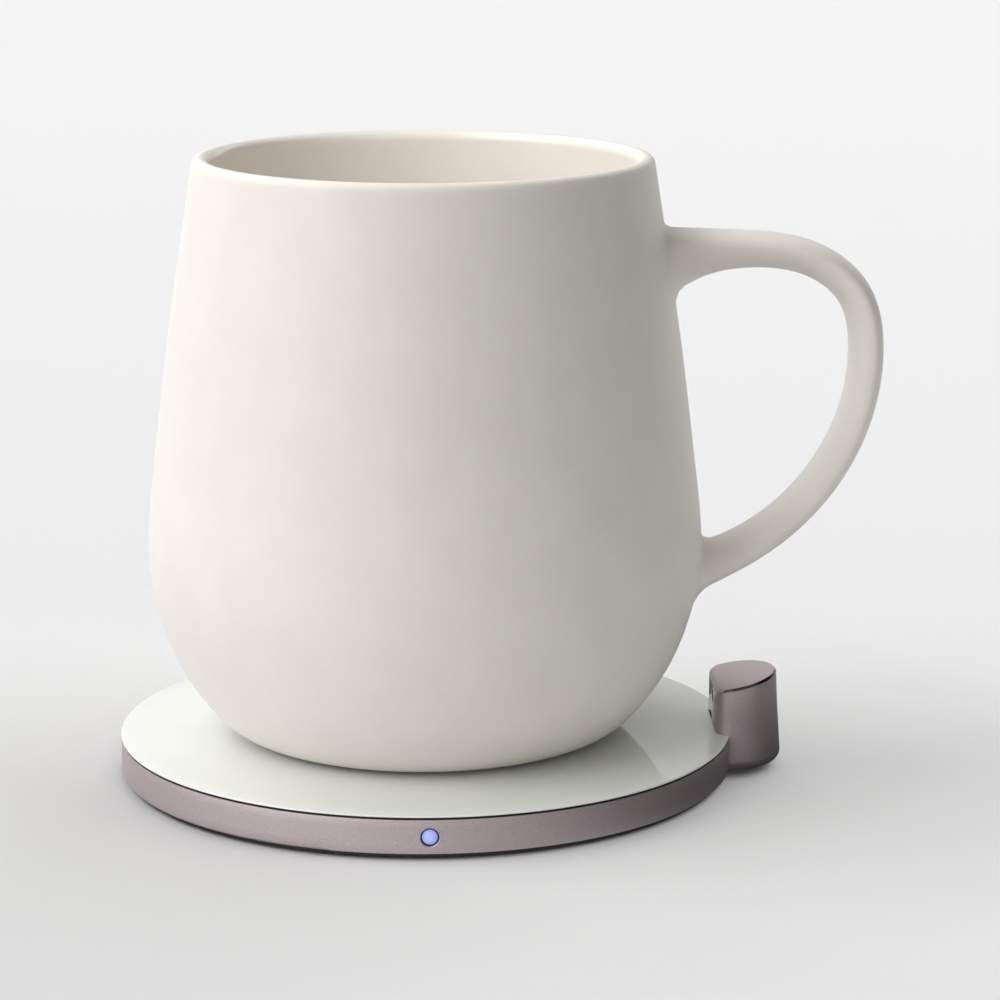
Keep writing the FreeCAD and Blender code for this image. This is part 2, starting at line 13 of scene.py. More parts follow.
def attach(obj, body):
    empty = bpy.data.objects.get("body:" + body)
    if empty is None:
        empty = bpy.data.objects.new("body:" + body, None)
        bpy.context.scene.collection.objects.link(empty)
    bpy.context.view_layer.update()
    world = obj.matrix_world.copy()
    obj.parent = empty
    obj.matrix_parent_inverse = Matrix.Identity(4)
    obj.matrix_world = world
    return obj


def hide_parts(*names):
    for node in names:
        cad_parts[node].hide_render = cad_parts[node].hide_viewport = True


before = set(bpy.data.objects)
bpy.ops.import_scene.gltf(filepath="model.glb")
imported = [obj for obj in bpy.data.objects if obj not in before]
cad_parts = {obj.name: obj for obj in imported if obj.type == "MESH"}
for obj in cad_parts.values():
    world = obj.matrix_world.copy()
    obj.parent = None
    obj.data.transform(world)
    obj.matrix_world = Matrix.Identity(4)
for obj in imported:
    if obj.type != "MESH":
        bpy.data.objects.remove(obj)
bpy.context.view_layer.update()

MM = 0.001

# Pad, in mm
PAD_R = 49.0
GLASS_TOP = 7.0
GLASS_EDGE = 0.3
GLASS_THICK = 1.1
SEAL_THICK = 0.35
SEAL_SETBACK = 0.12
RIM_BOTTOM = 1.0
RIM_WALL = 1.6
RIM_CHAMFER = 0.3
RIM_TOP = GLASS_TOP - GLASS_EDGE - SEAL_THICK
RIM_IN_R = PAD_R - RIM_WALL
FOOT_R = 47.2
FOOT_THICK = 0.6
LAMP_Z = 3.65
LAMP_HOLE_R = 1.4
LENS_R = 1.18
LENS_DOME_R = 2.4
INLET_Z = 3.65
INLET_W = 8.94
INLET_H = 3.26
SLIP = 0.1
GAP = 0.4                  # between rim and post
INLET_PLAY = 0.25
RIM_STEPS = 288

# Post, in mm
POST_X = 49.3
POST_A = 8.2
POST_B = 9.15
POST_FLAT_X = 46.35
POST_CORNER_R = 2.2
POST_BOTTOM = 1.1
POST_TOP_AT_FLAT = 14.08
POST_TOP_SLOPE = 0.192
POST_DRAFT = 0.07
POST_FOOT_R = 1.7
POST_SIDE_Z = (4.5, 7.5, 10.5)
POST_EDGE_Z = 13.6         # height of the plan that the top edge is built from
POST_CHAMFER = 0.36
POST_BROW_DEEP = 0.9       # rounded edge above the plate, along X
POST_BROW_HIGH = 0.72      # and along Z
POST_WAY_PLAY = 0.04       # gap between glass and post
PLATE_HALF_Y = 6.0
PLATE_TOP = 13.2
PLATE_THICK = 0.7
PLATE_PLAY = 0.03
PLATE_EDGE = 0.12
PLATE_CORNER_R = 0.25
PLATE_FOOT_CORNER_R = 0.1
LUG_SCREW_X = 44.2
LUG_SCREW_Y = 4.35
LUG_TOP = 4.7
LUG_BORE_R = 0.82
WINDOW_Z = 11.4
WINDOW_R = 1.1

# Mug, in mm
MUG_SEAT_Z = 7.4
MUG_SEAT_R = 27.6
MUG_FLOOR_Z = 14.4
RECESS_R = 24.5
RECESS_TOP = 11.2
LIP_R = 1.38
LIP_CENTRE = (34.82, 97.74)
LIP_LEAN = 8.6             # degrees that both walls lean inwards at the lip
MUG_OUTER = [(MUG_SEAT_R, MUG_SEAT_Z), (31.5, 8.8), (35.1, 12.2), (38.0, 16.1), (42.05, 25.0),
             (43.93, 34.5), (43.05, 49.2), (40.65, 68.6), (37.75, 87.9)]
MUG_INNER = [(34.85, 87.6), (37.65, 68.3), (40.05, 49.0), (40.9, 34.8), (39.3, 26.6), (36.3, 20.4),
             (31.0, 16.1), (22.0, MUG_FLOOR_Z)]
CAP_TOP = 8.2
HANDLE_PATH = [(34.5, 84.0), (50.0, 84.1), (60.3, 82.7), (67.75, 77.1), (69.9, 67.2), (67.35, 54.9),
               (60.35, 43.85), (50.5, 36.3), (40.5, 32.4)]
HANDLE_WIDTH = 10.0
HANDLE_DEPTH = 5.25
HANDLE_GROWTH = 0.10
HANDLE_OUTER_SHARE = 0.36
# Handle's extra depth and half width at its roots: size, length, fall
TOP_ROOT_INNER = (6.8, 7.6, 1.6)
TOP_ROOT_OUTER = (0.95, 15.0, 1.6)
TOP_ROOT_HALF = (1.3, 7.0, 2.0)
LOW_ROOT_INNER = (0.7, 4.5, 2.0)
LOW_ROOT_OUTER = (1.5, 9.0, 1.3)
LOW_ROOT_HALF = (0.6, 5.0, 2.0)
# Height, size of the blend between wall and handle
ROOT_BLENDS = [(26, 2.6), (30, 2.6), (39, 2.2), (76, 2.0), (84, 1.7), (88, 1.3)]

# Camera: place in mm, pitch and turn in degrees, lens in mm
CAMERA_AT = (-5.25, -538.76, 163.56)
CAMERA_PITCH = 12.514
CAMERA_TURN = -1.828
CAMERA_LENS = 124.665

# Light: azimuth, elevation, distance, width and height in m, watts
LIT_Z = 45                 # height that the lights aim at, in mm
SOFTBOXES = [
    ("key_low", -60, 17, 1.25, 1.3, 0.9, 4.7),
    ("key_high", -62, 42, 1.25, 1.1, 0.9, 9.6),
    ("top", 180, 80, 1.4, 2.0, 1.6, 4.4),
    ("top_left", -140, 50, 1.2, 0.9, 0.9, 6.6),
]
EDGE_LIGHT = (148, 15, 1.3, 0.4, 0.9, 1.0)
# Skies over the floor: spread, strength, lean
SKIES = [
    ("sky_left", 50, 1.45, (0, -45)),
    ("sky_right", 50, 1.11, (0, 45)),
    ("sky_rear", 50, 0.32, (-45, 0)),
    ("sky_rear_right", 40, 0.65, (-40, 40)),
    ("sky_rear_left", 40, 0.14, (-30, -60)),
]
BEHIND, IN_FRONT = 0.673, 0.75

# Stage, in mm
FLOOR_HALF = 5000
CARD_HEIGHTS = (0.3, 0.6)
FRONT_FLAG = [(-600, -900), (600, -900), (600, -135), (-600, -135)]
# Floor colour from front to back: painted light, lighter towards the back
FLOOR_PAINTED_LIGHT = [(0.0, "E8E8E8"), (0.16, "ECECEC"), (0.28, "EFEFEF"), (0.55, "F3F3F3"), (1.0, "F6F6F6")]
BESIDE_ARC = (-18, 150, 60)        # first and last degree from the front, and reach
BESIDE_GRADED = (-15, 110)         # x where the grading begins and ends
# Share of the way along that grading, brightness
BESIDE_SHADES = [(0.0, "D6D6D6"), (0.1, "D2D2D2"), (0.2, "C4C4C4"), (0.29, "B4B4B4"), (0.37, "989898"),
                 (0.45, "6C6C6C"), (0.53, "363636"), (0.7, "141414"), (1.0, "0C0C0C")]


# Colours and nodes

def linear(hex_colour):
    """sRGB hex to the linear colour that shaders use."""
    channels = [int(hex_colour[i:i + 2], 16) / 255 for i in (0, 2, 4)]
    return [c / 12.92 if c <= 0.04045 else ((c + 0.055) / 1.055) ** 2.4 for c in channels] + [1.0]


def add(tree, kind, links=None, **settings):
    """Adds one node. Settings name a property or an input; links map an input to another node's output."""
    node = tree.nodes.new(kind)
    for name, value in settings.items():
        if hasattr(node, name):
            setattr(node, name, value)
        else:
            node.inputs[name.replace("_", " ")].default_value = value
    for name, output in (links or {}).items():
        tree.links.new(output, node.inputs[name])
    return node


def new_material(name, **values):
    """A material with a shader whose inputs are set from values."""
    material = bpy.data.materials.new(name)
    material.use_nodes = True
    tree = material.node_tree
    tree.nodes.clear()
    shader = add(tree, "ShaderNodeBsdfPrincipled", **values)
    add(tree, "ShaderNodeOutputMaterial", {"Surface": shader.outputs[0]})
    return material, tree, shader


def noise(tree, size_mm, detail=2.0, roughness=0.5):
    """Noise in object coordinates with features about size_mm across."""
    place = add(tree, "ShaderNodeTexCoord").outputs["Object"]
    return add(tree, "ShaderNodeTexNoise", {"Vector": place},
               Scale=1 / (size_mm * MM), Detail=detail, Roughness=roughness).outputs[0]


def ramp(tree, value, stops):
    """Colour ramp from (position, hex colour) stops."""
    node = add(tree, "ShaderNodeValToRGB", {"Fac": value})
    points = node.color_ramp.elements
    for point, (position, colour) in zip(points, (stops[0], stops[-1])):
        point.position = position
        point.color = linear(colour)
    for position, colour in stops[1:-1]:
        points.new(position).color = linear(colour)
    return node.outputs[0]


def drift(tree, shader, value, first, second):
    """Base colour that drifts between two close colours."""
    tree.links.new(ramp(tree, value, [(0.35, first), (0.65, second)]), shader.inputs["Base Color"])


def relief(tree, shader, value, depth_mm):
    """Fine bumps that follow a value."""
    node = add(tree, "ShaderNodeBump", {"Height": value}, Distance=depth_mm * MM)
    tree.links.new(node.outputs[0], shader.inputs["Normal"])


def sheen_range(tree, shader, value, low, high):
    """Roughness that follows a value between two limits."""
    node = add(tree, "ShaderNodeMapRange", {"Value": value}, To_Min=low, To_Max=high)
    tree.links.new(node.outputs[0], shader.inputs["Roughness"])


# Materials

def bisque_porcelain():
    """Unglazed, polished porcelain: satin warm white; light goes a little way into it."""
    material, tree, shader = new_material("bisque_porcelain", IOR=1.5, Specular_IOR_Level=0.4)
    shader.subsurface_method = "RANDOM_WALK"
    shader.inputs["Subsurface Weight"].default_value = 0.25
    shader.inputs["Subsurface Radius"].default_value = (1.0, 0.85, 0.7)
    shader.inputs["Subsurface Scale"].default_value = 1.2 * MM
    drift(tree, shader, noise(tree, 9.0, 3.0), "E6E1DA", "E9E4DD")
    grain = noise(tree, 0.35, 3.0)
    sheen_range(tree, shader, grain, 0.46, 0.54)
    relief(tree, shader, grain, 0.004)
    return material


def glazed_porcelain():
    """Clear glossy glaze over cream porcelain, inside the mug."""
    material, tree, shader = new_material("glazed_porcelain", IOR=1.52)
    drift(tree, shader, noise(tree, 14.0), "F7F0E7", "F9F3EB")
    ripple = noise(tree, 6.0, 1.0)
    sheen_range(tree, shader, ripple, 0.14, 0.2)
    relief(tree, shader, ripple, 0.02)
    return material


def back_printed_glass():
    """Tempered soda-lime glass printed white on its back: white with a faint green cast, mirror smooth."""
    material, tree, shader = new_material("back_printed_glass", IOR=1.52)
    drift(tree, shader, noise(tree, 20.0), "E6E8E4", "E9EBE7")
    sheen_range(tree, shader, noise(tree, 4.0), 0.03, 0.06)
    return material


def anodised_aluminium():
    """Bead-blasted aluminium dyed rose grey: a soft broad sheen over fine sparkling grit."""
    material, tree, shader = new_material("anodised_aluminium", Metallic=1.0)
    grit = noise(tree, 0.22, 2.0, 0.7)
    drift(tree, shader, grit, "BCB0B3", "CCC1C3")
    sheen_range(tree, shader, grit, 0.55, 0.68)
    relief(tree, shader, grit, 0.016)
    return material


def polished_edge_painted_reflection():
    """Diamond-cut chamfer on the post: smoother and darker than the blasted side, a fine line; the darker base
    colour is a painted dark reflection of the surroundings.
    """
    material, tree, shader = new_material("polished_edge_painted_reflection", Metallic=1.0)
    turning = noise(tree, 0.5)
    drift(tree, shader, turning, "6A6365", "787072")
    sheen_range(tree, shader, turning, 0.2, 0.3)
    return material


def mirror_plate_painted_shade():
    """Dark mirror-polished glass plate on the post's flat side; its dark grey base colour is painted shade, the
    shade of the mug's dark side that the plate faces.
    """
    material, tree, shader = new_material("mirror_plate_painted_shade", IOR=1.52)
    drift(tree, shader, noise(tree, 3.0), "6E6F6B", "747570")
    sheen_range(tree, shader, noise(tree, 1.5), 0.04, 0.08)
    return material


def dark_lens():
    """Infrared-passing dark plastic in front of the sensor: near black and glossy."""
    material, tree, shader = new_material("dark_lens", IOR=1.55)
    drift(tree, shader, noise(tree, 0.8), "0B0A10", "14121B")
    sheen_range(tree, shader, noise(tree, 0.5), 0.06, 0.1)
    return material


def lit_lens():
    """Milky acrylic lens with a cool white lamp behind it: bright in the middle, bluer at its rim."""
    material, tree, shader = new_material("lit_milky_acrylic", Roughness=0.12, IOR=1.49,
                                          Emission_Strength=0.45)
    place = add(tree, "ShaderNodeTexCoord").outputs["Object"]
    centred = add(tree, "ShaderNodeVectorMath", {0: place}, operation="SUBTRACT")
    centred.inputs[1].default_value = (0, 0, LAMP_Z * MM)
    across = add(tree, "ShaderNodeVectorMath", {0: centred.outputs[0]}, operation="MULTIPLY")
    across.inputs[1].default_value = (1 / (LENS_R * MM), 0, 1 / (LENS_R * MM))
    radius = add(tree, "ShaderNodeVectorMath", {0: across.outputs[0]}, operation="LENGTH").outputs["Value"]
    glow = ramp(tree, radius, [(0.1, "BEC7FF"), (0.62, "A8B4FF"), (1.0, "6C7CE2")])
    tree.links.new(glow, shader.inputs["Emission Color"])
    drift(tree, shader, noise(tree, 0.4), "8C94C8", "949CCC")
    return material


def grained(name, first, second, roughness, grain_mm=0.3, depth_mm=0.01, **values):
    """Moulded plastic, rubber, ceramic or board with a fine grain."""
    material, tree, shader = new_material(name, **values)
    grain = noise(tree, grain_mm)
    drift(tree, shader, grain, first, second)
    sheen_range(tree, shader, grain, roughness - 0.05, roughness + 0.05)
    relief(tree, shader, grain, depth_mm)
    return material


def finishes():
    """One material for each material slot of the record."""
    return {
        "porcelain": bisque_porcelain(),
        "glaze": glazed_porcelain(),
        "white_glass": back_printed_glass(),
        "anodised_aluminium": anodised_aluminium(),
        "mirror_glass": mirror_plate_painted_shade(),
        "dark_lens": dark_lens(),
        "lamp_lens": lit_lens(),
        "silicone_black": grained("black_silicone", "070708", "0C0C0D", 0.65, 0.4, IOR=1.41),
        "plastic_black": grained("black_moulded_plastic", "0F0F10", "171718", 0.5),
        "foam_black": grained("black_foam_tape", "121212", "1C1C1C", 0.85, 0.5, 0.04),
        "steel": grained("plated_steel", "B9BABA", "C6C7C6", 0.3, 0.15, 0.004, Metallic=1.0),
        "flex_film": grained("amber_polyimide_film", "A8641A", "B5701F", 0.35, 0.8, 0.004),
        "chip_black": grained("black_epoxy_package", "18181A", "232325", 0.5, 0.1, 0.006),
        "circuit_board": grained("green_solder_mask", "14502F", "1A5C38", 0.32, 0.5, 0.006),
        "lamp_emitter": grained("white_lamp_package", "E4E2D8", "EFEDE4", 0.4, 0.2, 0.004),
        "gold_contact": grained("gold_plating", "E2B860", "ECC470", 0.22, 0.1, 0.002, Metallic=1.0),
        "ceramic_part": grained("tan_ceramic", "B89468", "C4A176", 0.4, 0.2, 0.004),
        "ferrite": grained("sintered_ferrite", "2A2A2B", "363637", 0.6, 0.2, 0.01),
        "plastic_cream": grained("cream_moulded_plastic", "E0D8C2", "E8E0CC", 0.45),
        "copper": grained("enamelled_copper", "B8642E", "C87238", 0.3, 0.3, 0.004, Metallic=1.0),
        "foam_white": grained("white_silicone_foam", "DCDAD4", "E8E6E0", 0.85, 0.6, 0.05),
        "heater": grained("blackened_stainless_steel", "4A4846", "5A5856", 0.4, 0.2, 0.004, Metallic=1.0),
    }


# Meshes

def shade(mesh, smooth_angle):
    """Smooth faces, with a sharp edge where two meet at more than the angle."""
    mesh.polygons.foreach_set("use_smooth", [True] * len(mesh.polygons))
    mesh.set_sharp_from_angle(angle=math.radians(smooth_angle))


def tidy_mesh(mesh, smooth_angle=35, weld=True):
    """Welds seams, turns every face outwards and marks the sharp edges."""
    build = bmesh.new()
    build.from_mesh(mesh)
    if weld:
        bmesh.ops.remove_doubles(build, verts=build.verts, dist=1e-7)
    bmesh.ops.recalc_face_normals(build, faces=build.faces)
    build.to_mesh(mesh)
    build.free()
    shade(mesh, smooth_angle)


def new_object(name, data):
    """Puts a mesh, lamp or camera into the scene."""
    holder = bpy.data.objects.new(name, data)
    bpy.context.scene.collection.objects.link(holder)
    return holder


def new_piece(name, verts_mm, faces, materials=(), smooth_angle=35):
    """Mesh object of points in mm and faces."""
    mesh = bpy.data.meshes.new(name)
    mesh.from_pydata([(x * MM, y * MM, z * MM) for x, y, z in verts_mm], [], faces)
    for material in materials:
        mesh.materials.append(material)
    tidy_mesh(mesh, smooth_angle)
    return new_object(name, mesh)


def turned(name, profile, steps, materials=(), smooth_angle=35):
    """Solid of revolution about Z of a closed profile of (radius, height) points."""
    rings, verts, faces = [], [], []
    for radius, height in profile:
        if radius < 1e-6:
            rings.append([len(verts)] * steps)
            verts.append((0, 0, height))
            continue
        rings.append(list(range(len(verts), len(verts) + steps)))
        for k in range(steps):
            angle = 2 * math.pi * k / steps
            verts.append((radius * math.cos(angle), radius * math.sin(angle), height))
    for low, high in zip(rings, rings[1:] + rings[:1]):
        for k in range(steps):
            face = list(dict.fromkeys([low[k], low[k - steps + 1], high[k - steps + 1], high[k]]))
            if len(face) > 2:
                faces.append(face)
    return new_piece(name, verts, faces, materials, smooth_angle)


def stacked(name, outlines, materials=(), smooth_angle=35):
    """Solid whose side runs through outlines of equally many (x, y, z) points, with flat ends."""
    count = len(outlines[0])
    verts = [point for outline in outlines for point in outline]
    faces = [list(range(count)), list(range(len(verts) - count, len(verts)))]
    for level in range(len(outlines) - 1):
        base = level * count
        for k in range(count):
            after = (k + 1) % count
            faces.append([base + k, base + after, base + count + after, base + count + k])
    return new_piece(name, verts, faces, materials, smooth_angle)


def block(name, low, high):
    """Cutter: a box between two corners."""
    (x0, y0, z0), (x1, y1, z1) = low, high
    ring = [(x0, y0), (x1, y0), (x1, y1), (x0, y1)]
    return stacked(name, [[(x, y, z) for x, y in ring] for z in (z0, z1)])


def turn_to(piece, axis):
    """Turns a mesh made along +Z so that it lies along +X or -Y."""
    turn = Matrix.Rotation(math.radians(90), 4, "X" if axis == "-Y" else "Y")
    piece.data.transform(turn)
    return piece


def move(piece, x=0.0, y=0.0, z=0.0):
    """Shifts a mesh by lengths in mm."""
    piece.data.transform(Matrix.Translation(Vector((x, y, z)) * MM))
    return piece


def bake(piece):
    """Puts the result of the modifiers into the mesh and removes them."""
    bpy.context.view_layer.update()
    mesh = bpy.data.meshes.new_from_object(piece.evaluated_get(bpy.context.evaluated_depsgraph_get()))
    piece.modifiers.clear()
    piece.data = mesh
    return piece


def cut(piece, tools, smooth_angle=35, operation="DIFFERENCE"):
    """Cuts tools out of a piece, or joins them to it, and removes the tools."""
    for tool in tools:
        modifier = piece.modifiers.new("cut", "BOOLEAN")
        modifier.operation = operation
        modifier.solver = "EXACT"
        modifier.object = tool
    bake(piece)
    for tool in tools:
        bpy.data.objects.remove(tool)
    shade(piece.data, smooth_angle)
    return piece


# Curves

def smooth_curve(points, per_span=40, first_tangent=None, last_tangent=None):
    """Points along a smooth cubic curve through the given points."""
    p = np.array(points, float)
    count = len(p)
    span = np.linalg.norm(np.diff(p, axis=0), axis=1)
    slope = np.diff(p, axis=0) / span[:, None]
    system = np.zeros((count, count))
    known = np.zeros(p.shape)
    for i in range(1, count - 1):
        system[i, i - 1:i + 2] = span[i], 2 * (span[i - 1] + span[i]), span[i - 1]
        known[i] = 3 * (span[i] * slope[i - 1] + span[i - 1] * slope[i])
    for end, beside, tangent, near in ((0, 1, first_tangent, slope[0]),
                                       (count - 1, count - 2, last_tangent, slope[-1])):
        if tangent is None:
            system[end, end], system[end, beside], known[end] = 2, 1, 3 * near
        else:
            system[end, end], known[end] = 1, np.array(tangent) / np.linalg.norm(tangent)
    tangents = np.linalg.solve(system, known)
    share = np.arange(per_span)[:, None] / per_span
    pieces = []
    for i in range(count - 1):
        pieces.append((2 * share ** 3 - 3 * share ** 2 + 1) * p[i]
                      + (3 * share ** 2 - 2 * share ** 3) * p[i + 1]
                      + span[i] * ((share ** 3 - 2 * share ** 2 + share) * tangents[i]
                                   + (share ** 3 - share ** 2) * tangents[i + 1]))
    return np.vstack(pieces + [p[-1:]])


def nearest_on(line, points):
    """For each 2-D point: index of the nearest place on a polyline, as whole number plus fraction."""
    start, step = line[:-1], np.diff(line, axis=0)
    size = (step ** 2).sum(1)
    coarse = np.arange(0, len(start), 4)
    place = np.empty(len(points))
    for first in range(0, len(points), 8000):
        group = points[first:first + 8000]
        rough = np.full((len(group), len(coarse)), 0.0)
        for axis in range(line.shape[1]):
            rough += (group[:, axis:axis + 1] - start[coarse, axis]) ** 2
        near = np.clip(coarse[rough.argmin(1)][:, None] + np.arange(-5, 5), 0, len(start) - 1)
        offset = group[:, None] - start[near]
        share = np.clip((offset * step[near]).sum(2) / size[near], 0, 1)
        gap = ((offset - share[..., None] * step[near]) ** 2).sum(2)
        best = gap.argmin(1)
        rows = np.arange(len(group))
        place[first:first + 8000] = near[rows, best] + share[rows, best]
    return place


def at(values, place):
    """Values along a polyline at fractional places."""
    low = np.minimum(place.astype(int), len(values) - 2)
    share = place - low
    if values.ndim > 1:
        share = share[:, None]
    return values[low] * (1 - share) + values[low + 1] * share


def unit(vectors):
    """Vectors scaled to length 1."""
    return vectors / np.maximum(np.linalg.norm(vectors, axis=1, keepdims=True), 1e-12)


# Mug

def lip_arc(first_deg, last_deg, steps):
    """Part of the lip's round edge as (radius, height) points."""
    angles = np.radians(np.linspace(first_deg, last_deg, steps))
    return np.column_stack([LIP_CENTRE[0] + LIP_R * np.cos(angles), LIP_CENTRE[1] + LIP_R * np.sin(angles)])


def mug_lines():
    """Outer wall with the lip's outer part, and inner wall from the lip to the floor's edge."""
    lean = math.radians(LIP_LEAN)
    up = (-math.sin(lean), math.cos(lean))
    arc = lip_arc(LIP_LEAN, 180 + LIP_LEAN, 49)
    outer = smooth_curve(MUG_OUTER + [tuple(arc[0])], first_tangent=(1, 0.12), last_tangent=up)
    inner = smooth_curve([tuple(arc[-1])] + MUG_INNER, first_tangent=(-up[0], -up[1]), last_tangent=(-1, 0))
    return outer, arc, inner


def handle_lines():
    """Centre, outward direction and half sizes of the handle's section along its path."""
    path = smooth_curve(HANDLE_PATH, 60)
    tangent = unit(np.gradient(path, axis=0))
    along = np.concatenate([[0], np.cumsum(np.linalg.norm(np.diff(path, axis=0), axis=1))])
    length = along[-1]

    def flare(distance, size, reach, fall):
        return size * np.exp(-(distance / reach) ** fall)

    depth = HANDLE_DEPTH * (1 + HANDLE_GROWTH * along / length)
    out = np.column_stack([-tangent[:, 1], tangent[:, 0]])
    centre = path + out * (depth * (0.5 - HANDLE_OUTER_SHARE))[:, None]
    left = length - along
    outer = depth * HANDLE_OUTER_SHARE + flare(along, *TOP_ROOT_OUTER) + flare(left, *LOW_ROOT_OUTER)
    inner = depth * (1 - HANDLE_OUTER_SHARE) + flare(along, *TOP_ROOT_INNER) + flare(left, *LOW_ROOT_INNER)
    half = HANDLE_WIDTH / 2 + flare(along, *TOP_ROOT_HALF) + flare(left, *LOW_ROOT_HALF)
    return {"path": path, "centre": centre, "out": out, "outer": outer, "inner": inner, "half": half,
            "along": along}


def handle_distance(lines, points):
    """Distance of points from the handle's surface and the way out of it."""
    place = nearest_on(lines["path"], points[:, (0, 2)])
    centre, out = at(lines["centre"], place), unit(at(lines["out"], place))
    half = at(lines["half"], place)
    u = ((points[:, (0, 2)] - centre) * out).sum(1)
    v = points[:, 1]
    deep = np.where(u > 0, at(lines["outer"], place), at(lines["inner"], place))
    level = np.sqrt((v / half) ** 2 + (u / deep) ** 2)
    steep = np.maximum(np.sqrt(v ** 2 / half ** 4 + u ** 2 / deep ** 4), 1e-6)
    distance = level * (level - 1) / steep
    way = np.column_stack([out[:, 0] * u / deep ** 2, v / half ** 2, out[:, 1] * u / deep ** 2])
    return distance, unit(way)


def wall_distance(wall, points):
    """Distance of points from the mug's outer wall and the way out of it."""
    radius = np.hypot(points[:, 0], points[:, 1])
    flat = np.column_stack([radius, points[:, 2]])
    place = nearest_on(wall, flat)
    tangent = unit(at(np.gradient(wall, axis=0), place))
    normal = np.column_stack([tangent[:, 1], -tangent[:, 0]])
    distance = ((flat - at(wall, place)) * normal).sum(1)
    round_way = points[:, :2] / np.maximum(radius, 1e-9)[:, None]
    return distance, np.column_stack([round_way * normal[:, :1], normal[:, 1]])


def onto_mug(points, wall, profile, lines):
    """Moves points onto the mug: to its profile, and round the handle to the blended wall and handle."""
    points = points.copy()
    to_wall = wall_distance(wall, points)[0]
    to_handle = handle_distance(lines, points)[0]
    joined = (to_wall > -LIP_R) & (to_handle < 6.0) & (points[:, 0] > 20) & (points[:, 2] < 93)
    for _ in range(6):
        a, way_a = wall_distance(wall, points[joined])
        b, way_b = handle_distance(lines, points[joined])
        size = np.interp(points[joined, 2], *np.array(ROOT_BLENDS, float).T)
        blend = np.clip(size - np.abs(a - b), 0, None) / size
        level = np.minimum(a, b) - blend ** 2 * size / 4
        share = np.where(a < b, 1 - blend / 2, blend / 2)[:, None]
        way = way_a * share + way_b * (1 - share)
        points[joined] -= (level / np.maximum((way ** 2).sum(1), 0.2))[:, None] * way
    rest = ~joined
    radius = np.hypot(points[rest, 0], points[rest, 1])
    target = at(profile, nearest_on(profile, np.column_stack([radius, points[rest, 2]])))
    turn = points[rest, :2] / np.maximum(radius, 1e-9)[:, None]
    points[rest] = np.column_stack([turn * target[:, :1], target[:, 1]])
    return points


HOLE_COLUMNS = (-9.2, -4.6, 0.0, 4.6, 9.2)
TOP_HOLE = (74.2, 83.4, 88.4)
LOW_HOLE = (28.4, 33.8, 39.8)
AROUND = [(4, 1), (4, 2), (3, 2), (2, 2), (1, 2), (0, 2), (0, 1), (0, 0), (1, 0), (2, 0), (3, 0), (4, 0)]


def mug_cage(outer, inner):
    """Coarse net of four-sided faces of the whole mug, with the handle grown out of two openings in it."""
    side = [13.5, 19.0, 26.0] + [26.0 + 154.0 / 18 * k for k in range(1, 19)]
    columns = list(HOLE_COLUMNS) + side[:-1] + [180.0] + [-a for a in side[-2::-1]]
    heights = [7.42, 8.3, 10.2, 13.0, 17.0, 21.8, 25.8, *LOW_HOLE, 43.0, 48.5, 55.0, 61.5, 67.5, 71.5,
               *TOP_HOLE, 90.6, 94.0, 96.8]
    outer_rows = [(float(np.interp(z, outer[:, 1], outer[:, 0])), z) for z in heights]
    lip_rows = [tuple(p) for p in lip_arc(LIP_LEAN + 10, 180 + LIP_LEAN - 10, 5)]
    inner_rows = [(float(np.interp(-z, -inner[:, 1], inner[:, 0])), z)
                  for z in (95.5, 90.0, 82.0, 73.0, 63.0, 53.0, 43.0, 34.0, 27.0, 21.5, 18.0, 15.8)]
    rows = outer_rows + lip_rows + inner_rows + [(radius, MUG_FLOOR_Z) for radius in (22.0, 14.5, 7.0)]
    under = [(7.0, RECESS_TOP), (15.0, RECESS_TOP), (RECESS_R, RECESS_TOP), (RECESS_R, MUG_SEAT_Z),
             (26.2, MUG_SEAT_Z)]
    net = {}
    verts, faces = [], []
    count = len(columns)
    for loop in (rows, under):
        for row, (radius, z) in enumerate(loop):
            for column, angle in enumerate(columns):
                turn = math.radians(angle)
                net[loop is rows, row, column] = len(verts)
                verts.append((radius * math.cos(turn), radius * math.sin(turn), z))
    holes = [heights.index(hole[0]) for hole in (TOP_HOLE, LOW_HOLE)]
    open_faces = {(True, base + r, c) for base in holes for r in (0, 1) for c in (0, 1, 2, 3)}
    bands = [((True, row), (True, row + 1)) for row in range(len(rows) - 1)]
    bands += [((False, row), (False, row + 1)) for row in range(len(under) - 1)]
    bands.append(((False, len(under) - 1), (True, 0)))
    for first, second in bands:
        for column in range(count):
            if (*first, column) in open_faces:
                continue
            after = (column + 1) % count
            faces.append([net[*first, column], net[*first, after], net[*second, after], net[*second, column]])
    for is_top, row, z in ((True, len(rows) - 1, MUG_FLOOR_Z), (False, 0, RECESS_TOP)):
        middle = len(verts)
        verts.append((0, 0, z))
        for column in range(0, count, 2):
            faces.append([middle, net[is_top, row, column], net[is_top, row, (column + 1) % count],
                          net[is_top, row, (column + 2) % count]])
    return verts, faces, net, holes


def handle_cage(verts, faces, net, holes, lines):
    """Adds the handle's tube between the two openings."""
    stations = np.concatenate([[9.5, 12.5], np.linspace(16.5, lines["along"][-1] - 11.0, 18),
                               [lines["along"][-1] - 8.0]])
    angles = np.radians([0, 35, 62, 90, 118, 145, 180, 215, 242, 270, 298, 325])
    top_base, low_base = holes
    ring = [net[True, top_base + r, c] for c, r in AROUND]
    for station in stations:
        i = int(np.searchsorted(lines["along"], station))
        centre, out = lines["centre"][i], lines["out"][i]
        fresh = []
        for angle in angles:
            u = math.sin(angle) * (lines["outer"][i] if math.sin(angle) > 0 else lines["inner"][i])
            v = math.cos(angle) * lines["half"][i]
            fresh.append(len(verts))
            verts.append((centre[0] + out[0] * u, v, centre[1] + out[1] * u))
        faces += [[ring[k], ring[(k + 1) % 12], fresh[(k + 1) % 12], fresh[k]] for k in range(12)]
        ring = fresh
    last = [net[True, low_base + 2 - r, c] for c, r in AROUND]
    faces += [[ring[k], ring[(k + 1) % 12], last[(k + 1) % 12], last[k]] for k in range(12)]


